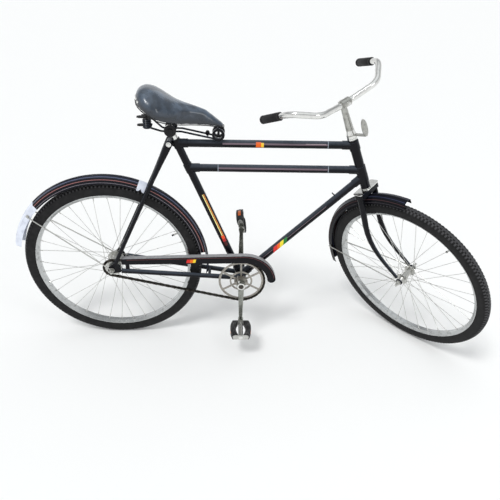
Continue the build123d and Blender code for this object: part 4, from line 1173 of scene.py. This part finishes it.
@dataclass
class Drive:
    """Roller chain with its own links, the cranks' cotters and the ends of their bosses."""

    plan: Layout3D
    pitch: float = 12.7
    ring_teeth: int = 48
    sprocket_teeth: int = 18
    line_y: float = 44.0
    plate_gap: float = 3.2
    plate_thick: float = 1.2
    plate_height: float = 8.6
    boss_y: float = 87.1
    # A cotter's nut: ahead of the spindle, aside from the middle, up
    cotter: Triple = (9.0, 75.0, 15.0)

    def build(self) -> None:
        """Build the drive's pieces."""
        self.build_chain()
        self.build_cotters()
        self.build_boss_ends()

    def pins(self) -> list[Vector]:
        """Place the chain's pins round the chainring and the sprocket.

        Returns:
            The pins' places, evenly spaced along the loop.
        """
        front, rear = self.plan.bracket, self.plan.rear
        ring_r, cog_r = (self.pitch / (2 * sin(pi / teeth)) for teeth in (self.ring_teeth, self.sprocket_teeth))
        apart = (front - rear).length
        slope = atan2(front.z - rear.z, front.x - rear.x)
        lean = acos((ring_r - cog_r) / apart)
        run = (apart**2 - (ring_r - cog_r) ** 2) ** 0.5
        over, under = outward(slope + pi - lean), outward(slope + pi + lean)
        round_ring, round_cog = ring_r * (2 * pi - 2 * lean), cog_r * 2 * lean
        length = 2 * run + round_ring + round_cog
        count = 2 * round(length / self.pitch / 2)
        pins = []
        for index in range(count):
            at = length * index / count
            if at < round_ring:
                pins.append(front + outward(slope + pi - lean - at / ring_r) * ring_r)
            elif (at := at - round_ring) < run:
                pins.append((front + under * ring_r).lerp(rear + under * cog_r, at / run))
            elif (at := at - run) < round_cog:
                pins.append(rear + outward(slope + pi + lean - at / cog_r) * cog_r)
            else:
                pins.append((rear + over * cog_r).lerp(front + over * ring_r, (at - round_cog) / run))
        return pins

    def build_chain(self) -> None:
        """Link the chain."""
        shape = Shape()
        pins = self.pins()
        half = self.plate_height / 2
        for index, pin in enumerate(pins):
            after = pins[(index + 1) % len(pins)]
            way = (after - pin).normalized()
            up = sideways().cross(way)
            inner = self.plate_gap / 2 + (0.2 if index % 2 else self.plate_thick + 0.3)
            for side in (-1, 1):
                rings = []
                for out in (inner, inner + self.plate_thick):
                    loop = []
                    for k in range(10):
                        angle = pi * (k % 5) / 4 - pi / 2
                        end, flip = (after, 1) if k < 5 else (pin, -1)
                        spot = end + (way * cos(angle) + up * sin(angle)) * (half * flip)
                        loop.append(Vector((spot.x, -self.line_y + side * out, spot.z)))
                    rings.append(loop)
                shape.lofted(rings)
            reach = self.plate_gap / 2 + 2 * self.plate_thick + 0.9
            shape.turned(
                [(0, 0), (0, 1.8), (2 * reach, 1.8), (2 * reach, 0)],
                along_y(Vector((pin.x, -self.line_y - reach, pin.z)), sideways()), 6,
            )
        chain = shape.piece("linked_chain", Coats.OILED, "frame", "chain_steel", 30.0)
        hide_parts("chain")

    def build_cotters(self) -> None:
        """Add the crank cotters with their nuts."""
        shape = Shape()
        for side in (-1, 1):
            ahead, aside, up = self.cotter
            foot = self.plan.bracket + sideways(side * aside) + Vector((ahead * side, 0, up * -side))
            shape.hex_bolt(along_y(foot, Vector((0, 0, -side))), 11.0, 6.0, 14.0)
        shape.piece("crank_cotters", Coats.CHROME, "cranks", "chrome")

    def build_boss_ends(self) -> None:
        """Add the oily dished ends of the spindle and the polished rims round the ends of the cranks' bosses."""
        dished = [(0, 10.2), (0.5, 10.2), (0.5, 9.0), (0.2, 7.4), (0.1, 0)]
        rim = [(0, 10.6), (0.5, 10.8), (0.9, 11.6), (0.7, 14.4), (0.2, 16.4), (0, 16.6), (0, 10.6)]
        for name, finish, slot, outline, steps in (
            ("spindle_ends", Coats.OILED, "chain_steel", dished, 24),
            ("boss_rims", Coats.CHROME, "chrome", rim, 32),
        ):
            shape = Shape()
            for side in (-1, 1):
                foot = self.plan.bracket + sideways(side * self.boss_y)
                shape.turned(outline, along_y(foot, sideways(side)), steps)
            shape.piece(name, finish, "cranks", slot)


def run_place(start: Vector, end: Vector) -> Matrix:
    """Place a run in the bicycle's own plane, with X along it and Z up from it.

    Args:
        start: Where the run starts.
        end: Where it ends.

    Returns:
        The place as a matrix.
    """
    way = (end - start).normalized()
    axes = Matrix((way, sideways(), Vector((-way.z, 0, way.x)))).transposed().to_4x4()
    return Matrix.Translation(start) @ axes


@dataclass
class FrameTrim:
    """Painted bands on the tubes and the chain guard, the seat stays and the seat bolt."""

    plan: Layout3D
    seat_angle: float = 67.6
    top_height: float = 587.0
    head_to_joint: float = 180.0
    lower_step: float = 105.0
    down_step: float = 135.0
    guard_ahead: float = 13.0
    guard_rise_deg: float = 2.1
    guard_r: float = 131.0
    stay_top: Pair = (-270.0, 592.0)
    stay_y: float = 25.0
    stay_end_half: float = 7.0
    stay_clear: float = 38.0
    fork_end_y: float = 57.3
    # Rows of a stay: share of its run, millimetres past that, half its width and half its thickness
    stay_rows: tuple[Four, ...] = (
        (0.0, -4.0, 7.0, 6.0), (0.0, 6.0, 8.0, 8.0), (0.72, 0.0, 8.4, 8.0), (0.86, 0.0, 11.0, 8.0),
        (0.95, 0.0, 13.6, 7.2), (1.0, 0.0, 14.0, 7.0), (1.0, 6.0, 12.0, 7.0), (1.0, 11.0, 8.0, 6.4),
        (1.0, 13.0, 4.0, 5.6),
    )
    bridge_at: float = 399.3
    bridge_r: float = 6.0
    ear_half: float = 12.0

    def build(self) -> None:
        """Paint the bands and add the stays and the seat bolt."""
        self.dress_tubes()
        self.dress_guard()
        self.build_stays()
        self.build_seat_bolt()

    def dress_tubes(self) -> None:
        """Paint the bands and the linings of the tubes."""
        plan = self.plan
        seat_joint = self.seat_joint()
        seat_way = (seat_joint - plan.bracket).normalized()
        head_joint = plan.head + plan.head_way * self.head_to_joint
        seat_low = seat_joint - seat_way * self.lower_step
        head_low = head_joint - plan.head_way * self.lower_step
        head_down = head_joint - plan.head_way * self.down_step
        lining, ring_paint = "#6f5e66", "#9aa3ad"
        rings = [Patch(ring_paint, (at, at + 2.4), (-16.0, 16.0)) for at in (552.0, 108.0, 522.0)]
        upper = (
            Patch(lining, (166.0, 552.0), (1.5, 7.5)),
            rings[0],
            Patch("#e8651e", (288.0, 307.0), (-9.0, 11.0)),
            Patch("#f3c53a", (307.0, 317.0), (-9.0, 9.0)),
            Patch("#b8a4a8", (470.0, 545.0), (6.0, 7.5)),
        )
        slanted = (
            ("#d93431", 186.0, 207.0), ("#ee6a22", 207.0, 222.0), ("#f4e23c", 222.0, 241.0),
            ("#2f7d3a", 241.0, 260.0),
        )
        down = (
            Patch("#7c6a70", (60.0, 470.0), (4.0, 5.4)),
            *(Patch(colour, (low, high), (-14.5, 9.5), -1.0) for colour, low, high in slanted),
        )
        seat = (
            Patch("#fff2a0", (215.0, 412.0), (-5.6, -2.4)),
            Patch("#ff9a3c", (215.0, 412.0), (-9.4, -7.4)),
            Patch("#f0562c", (199.0, 215.0), (-10.4, 1.0)),
            Patch("#b23033", (186.0, 199.0), (-10.4, 2.0)),
            Patch("#4e1f1f", (166.0, 186.0), (-9.0, 2.0)),
        )
        for node, start, end, patches in (
            ("top_tube_upper", seat_joint, head_joint, upper),
            ("top_tube_lower", seat_low, head_low, (Patch(lining, (110.0, 522.0), (1.5, 7.5)), *rings[1:])),
            ("down_tube", plan.bracket, head_down, down),
            ("seat_tube", plan.bracket, seat_joint, seat),
        ):
            # Lined enamel: the same black with thin lines and plain colour bands, and dust with a painted blue-grey
            # highlight on what faces up
            place = in_metres(run_place(start, end))
            plan.paint(node, Enamel(f"lined_enamel_{node}", place, dust_and_sheen_share=0.26, patches=patches))

    def dress_guard(self) -> None:
        """Paint the chain guard's band and stripe."""
        hub = self.plan.bracket + Vector((self.guard_ahead, 0, 0))
        place = run_place(hub, hub + outward(radians(self.guard_rise_deg)))
        top = self.guard_r
        edge_line, band_up = (top - 6.4, top - 5.2), (top - 26.0, top - 10.0)
        bands = (("#d3322e", -264.0, -250.0), ("#e9711f", -250.0, -238.0), ("#f1cf3a", -238.0, -227.0))
        # Chain guard enamel: its top flange is grey with dust, scuffs and a painted sky highlight, its side black
        # and lined
        finish = Enamel(
            "striped_guard_enamel", in_metres(place), dust_and_sheen="#bdbdc0", dust_and_sheen_share=0.62,
            patches=(
                Patch("#7c4a4c", (-470.0, 0.0), edge_line),
                Patch("#7c4a4c", (8.0, 90.0), edge_line, 0.0, Layout.ROUND),
                *(Patch(colour, (low, high), band_up, -0.3) for colour, low, high in bands),
            ),
        )
        self.plan.paint("chain_guard", finish)

    def seat_joint(self) -> Vector:
        """Return where the top tube meets the seat tube."""
        lean = radians(self.seat_angle)
        seat_way = Vector((-cos(lean), 0, sin(lean)))
        return self.plan.bracket + seat_way * (self.top_height / seat_way.z)

    def build_stays(self) -> None:
        """Run the seat stays from the fork ends to flat ends bolted at the seat lug, with their bridge."""
        plan = self.plan
        shape = Shape()
        foot_way = (self.seat_joint() - plan.rear).normalized() * self.stay_clear
        middle = plan.rear_guard
        bridge = []
        for side in (-1, 1):
            foot = plan.rear + foot_way + sideways(side * self.fork_end_y)
            top = plan.bracket + Vector((self.stay_top[0], side * self.stay_y, self.stay_top[1]))
            way = (top - foot).normalized()
            wide_way = sideways().cross(way).normalized()
            thick_way = way.cross(wide_way)
            rings = []
            for share, ahead, wide, thick in self.stay_rows:
                spot = foot.lerp(top, share) + way * ahead
                loop = [wide_way * (cos(turn) * wide) + thick_way * (sin(turn) * thick) for turn in turns(16)]
                rings.append([spot + reach for reach in loop])
            shape.lofted(rings)
            steps = [foot.lerp(top, k / 200) for k in range(201)]
            bridge.append(
                min(steps, key=lambda step: abs(hypot(step.x - middle.x, step.z - middle.z) - self.bridge_at))
            )
        shape.tube(bridge, self.bridge_r, 12)
        stays = shape.piece("bolted_seat_stays", Coats.BLACK, "frame", "black_enamel", 40.0)
        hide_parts("seat_stays")

    def build_seat_bolt(self) -> None:
        """Add the seat lug's ears and the bolt through them and the stays' flat ends."""
        middle = self.plan.bracket + Vector((self.stay_top[0], 0, self.stay_top[1]))
        inner = self.stay_y - self.stay_end_half
        ears, bolt = Shape(), Shape()
        ears.turned(
            [(-inner, 0), (-inner, 9.0), (1 - inner, 10.0), (inner - 1, 10.0), (inner, 9.0), (inner, 0)],
            along_y(middle, sideways()), 20,
        )
        corners = ((-1, -1), (1, -1), (1, 1), (-1, 1))
        ears.lofted(
            [
                [spot + Vector((0, y * self.ear_half, z * high)) for y, z in corners]
                for spot, high in ((middle, 9.0), (self.seat_joint(), 13.0))
            ]
        )
        ears.piece("seat_lug_ears", Coats.BLACK, "frame", "black_enamel")
        for side in (-1, 1):
            foot = middle + sideways(side * (self.stay_y + self.stay_end_half))
            bolt.hex_bolt(along_y(foot, sideways(side)), 14.0, 5.0, 19.0)
        bolt.piece("seat_bolt", Coats.CHROME, "frame", "chrome")


@dataclass
class Mudguards:
    """Linings of the mudguards, the tag over the rear one and the bolts of their stays."""

    plan: Layout3D
    crown_r: float = 393.0
    edge_r: float = 362.0
    half_w: float = 27.0
    shoulder: Pair = (20.0, 385.0)
    rib: Pair = (4.0, 390.6)
    tag_from: float = 65.0
    tag_turn: float = 4.8
    tag_notch: float = 10.0
    rear_wire: float = 144.0
    front_wire: float = 189.1

    def build(self) -> None:
        """Paint the linings and add the tag and the bolts."""
        plan = self.plan
        rear, front = Matrix.Translation(plan.rear_guard), plan.front_place
        radii = ((378.4, 380.6), (368.0, 369.2), (387.2, 388.0))
        for node, place, share, gloss, colours in (
            ("rear_mudguard", rear, 0.14, 0.12, ("#9c6a68", "#8d8790", "#6f7896")),
            # The front guard's lines and dust are painted darker than the rear guard's, as painted shade
            ("front_mudguard", front, 0.06, 0.05, ("#4a3436", "#48464b", "#343950")),
        ):
            # Mudguard enamel: black sheet with a faded pink line along each flank and a dull one at the lip, and
            # dust with a painted blue-grey highlight on what faces up
            finish = Enamel(
                f"lined_enamel_{node}", in_metres(place), dust_and_sheen="#5a6078", dust_and_sheen_share=share, gloss=gloss,
                patches=tuple(
                    Patch(colour, (-180.0, 180.0), reach, 0.0, Layout.ROUND) for colour, reach in zip(colours, radii)
                ),
            )
            plan.paint(node, finish)
        self.build_tag(rear)
        self.build_bolts(rear, front)

    def build_tag(self, rear: Matrix) -> None:
        """Fold the plain white tag over the rear mudguard's right side.

        Args:
            rear: Middle of the rear mudguard.
        """
        (shoulder_y, shoulder_r), (rib_y, rib_r) = self.shoulder, self.rib
        inner = [
            (rib_y / 2, self.crown_r + 0.5), (-rib_y / 2, self.crown_r + 0.5), (-rib_y - 0.3, rib_r + 0.5),
            (-shoulder_y - 0.5, shoulder_r + 0.4), (-self.half_w - 0.5, self.edge_r),
        ]
        outer = [(y - (0.0 if index < 2 else 0.7), r + 0.8) for index, (y, r) in enumerate(inner)]
        shape = Shape()
        place = rear @ Matrix.Rotation(radians(-self.tag_from), 4, "Y")
        shape.turned(inner + outer[::-1] + inner[:1], place, 4, self.tag_turn)
        centre = rear.to_translation()
        for vert in shape.mesh.verts:
            out = vert.co - centre
            turn = atan2(out.z, out.x)
            low = hypot(out.x, out.z) < self.edge_r + 2.0
            if low and abs(turn - radians(self.tag_from + self.tag_turn / 2)) < radians(0.4):
                vert.co += outward(turn) * self.tag_notch + sideways(self.tag_notch * 0.3)
        rims = [edge for edge in shape.mesh.edges if edge.is_boundary]
        bmesh.ops.holes_fill(shape.mesh, edges=rims, sides=0)
        bmesh.ops.recalc_face_normals(shape.mesh, faces=shape.mesh.faces)
        shape.piece("mudguard_tag", Coats.WHITE, "frame", "white_plastic")

    def build_bolts(self, rear: Matrix, front: Matrix) -> None:
        """Add the bolts that hold the stays to the mudguards.

        Args:
            rear: Middle of the rear mudguard.
            front: Middle of the front mudguard.
        """
        for name, place, turn, body in (
            ("rear_stay_bolts", rear, self.rear_wire, "frame"),
            ("front_stay_bolts", front, self.front_wire, "fork"),
        ):
            shape = Shape()
            out = outward(radians(turn))
            for side in (-1, 1):
                foot = out * (self.edge_r + 12.0) + sideways(side * (self.half_w - 2.6))
                shape.hex_bolt(place @ along_y(foot, sideways(side) + out * 0.25), 9.0, 4.0, 13.0)
            shape.piece(name, Coats.ZINC, body, "bright_steel")


@dataclass
class Pedals:
    """Reflectors, tread ribs and end caps of the pedals."""

    plan: Layout3D
    near: float = 102.0
    far: float = 198.0
    left_turn: float = 78.0
    inner: float = 11.0
    outer: float = 33.0
    bulge: float = 10.0
    half_long: float = 44.7
    top: float = 13.5
    lens_half_high: float = 6.0
    lens_half_long: float = 21.0
    rib_half: float = 1.6
    rib_high: float = 1.8

    def build(self) -> None:
        """Add the reflectors, the ribs and the caps."""
        for name, side, turn in (("pedal_right", -1, 0.0), ("pedal_left", 1, self.left_turn)):
            middle = Matrix.Translation((0, side * (self.near + self.far) / 2, 0))
            place = Matrix.Translation(self.plan.pedals[name]) @ Matrix.Rotation(radians(turn), 4, "Y") @ middle
            lens, ribs, cap = Shape(), Shape(), Shape()
            for end in (-1, 1):
                lens_up = (-self.lens_half_high, self.lens_half_high)
                self.add_strip(lens, place, end, (self.outer - 3.0, self.outer + 0.2), lens_up, self.lens_half_long)
                for share in (0.2, 0.5, 0.8):
                    across = self.inner + (self.outer - self.inner) * share
                    sides = (across - self.rib_half, across + self.rib_half)
                    for up in (-self.top - 1.2, self.top - 0.6):
                        self.add_strip(ribs, place, end, sides, (up, up + self.rib_high), self.half_long - 3)
            lens.piece(f"{name}_reflectors", Coats.AMBER, name, "white_plastic")
            ribs.piece(f"{name}_ribs", Coats.DUSTY, name, "black_rubber")
            cap.turned(
                [(0, 0), (0, 8.6), (1.8, 8.6), (3.2, 7.0), (4.0, 4.0), (4.2, 0)],
                place @ along_y(sideways(side * (self.far - self.near) / 2), sideways(side)), 20,
            )
            cap.piece(f"{name}_cap", Coats.CHROME, name, "chrome")

    def add_strip(
        self, shape: Shape, place: Matrix, end: int, across: Pair, up: Pair, half: float
    ) -> None:
        """Add a strip that follows the bow of a rubber block.

        Args:
            shape: Mesh that gets the strip.
            place: Middle of the pedal.
            end: Front block (1) or rear block (-1).
            across: The strip's sides at the block's ends.
            up: The strip's bottom and top.
            half: Half its length.
        """
        rings = []
        for step in range(-4, 5):
            along = half * step / 4
            bow = self.bulge * (1 - (along / self.half_long) ** 2)
            corners = ((across[0], up[0]), (across[1], up[0]), (across[1], up[1]), (across[0], up[1]))
            rings.append([place @ Vector((end * (x + bow), along, z)) for x, z in corners])
        shape.lofted(rings)


@dataclass
class Bicycle:
    """The whole bicycle with all its finishes."""

    frame: dict[str, Any]
    slot_coats: ClassVar[dict[str, Finish]] = {
        "black_enamel": Coats.BLACK, "chrome": Coats.CHROME, "bright_steel": Coats.ZINC, "chain_steel": Coats.OILED,
        "tyre_rubber": Coats.TYRE, "white_plastic": Coats.WHITE, "saddle_vinyl": Coats.VINYL,
        "black_rubber": Coats.GRIP,
    }
    node_coats: ClassVar[dict[str, Finish]] = {
        "rear_rim": Coats.RIM, "front_rim": Coats.RIM, "chainring": Coats.TARNISHED, "crank_right": Coats.CRANK,
        "crank_left": Coats.SHADED, "stem": Coats.STEM, "lamp_bracket": Coats.STEM,
        "pedal_right_rubbers": Coats.BLOCK, "pedal_left_rubbers": Coats.BLOCK,
    }

    def build(self) -> None:
        """Build and dress every piece."""
        plan = Layout3D(self.frame)
        for part in self.frame["record"]["subparts"]:
            node = part["node"]
            plan.paint(node, self.node_coats.get(node, self.slot_coats[part["material_slot"]]))
        Wheel("rear", "rear_wheel", Matrix.Translation(plan.rear), 28.0).build()
        Wheel("front", "front_wheel", plan.front_place, 60.0).build()
        Saddle().build()
        for assembly in (Steering, Drive, FrameTrim, Mudguards, Pedals):
            assembly(plan).build()


def main() -> None:
    """Load the frame, set up the studio and build the bicycle."""
    logging.basicConfig(level=logging.INFO, format="%(name)s: %(message)s")
    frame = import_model()
    Studio().build()
    Bicycle(frame).build()


if __name__ == "__main__":
    main()
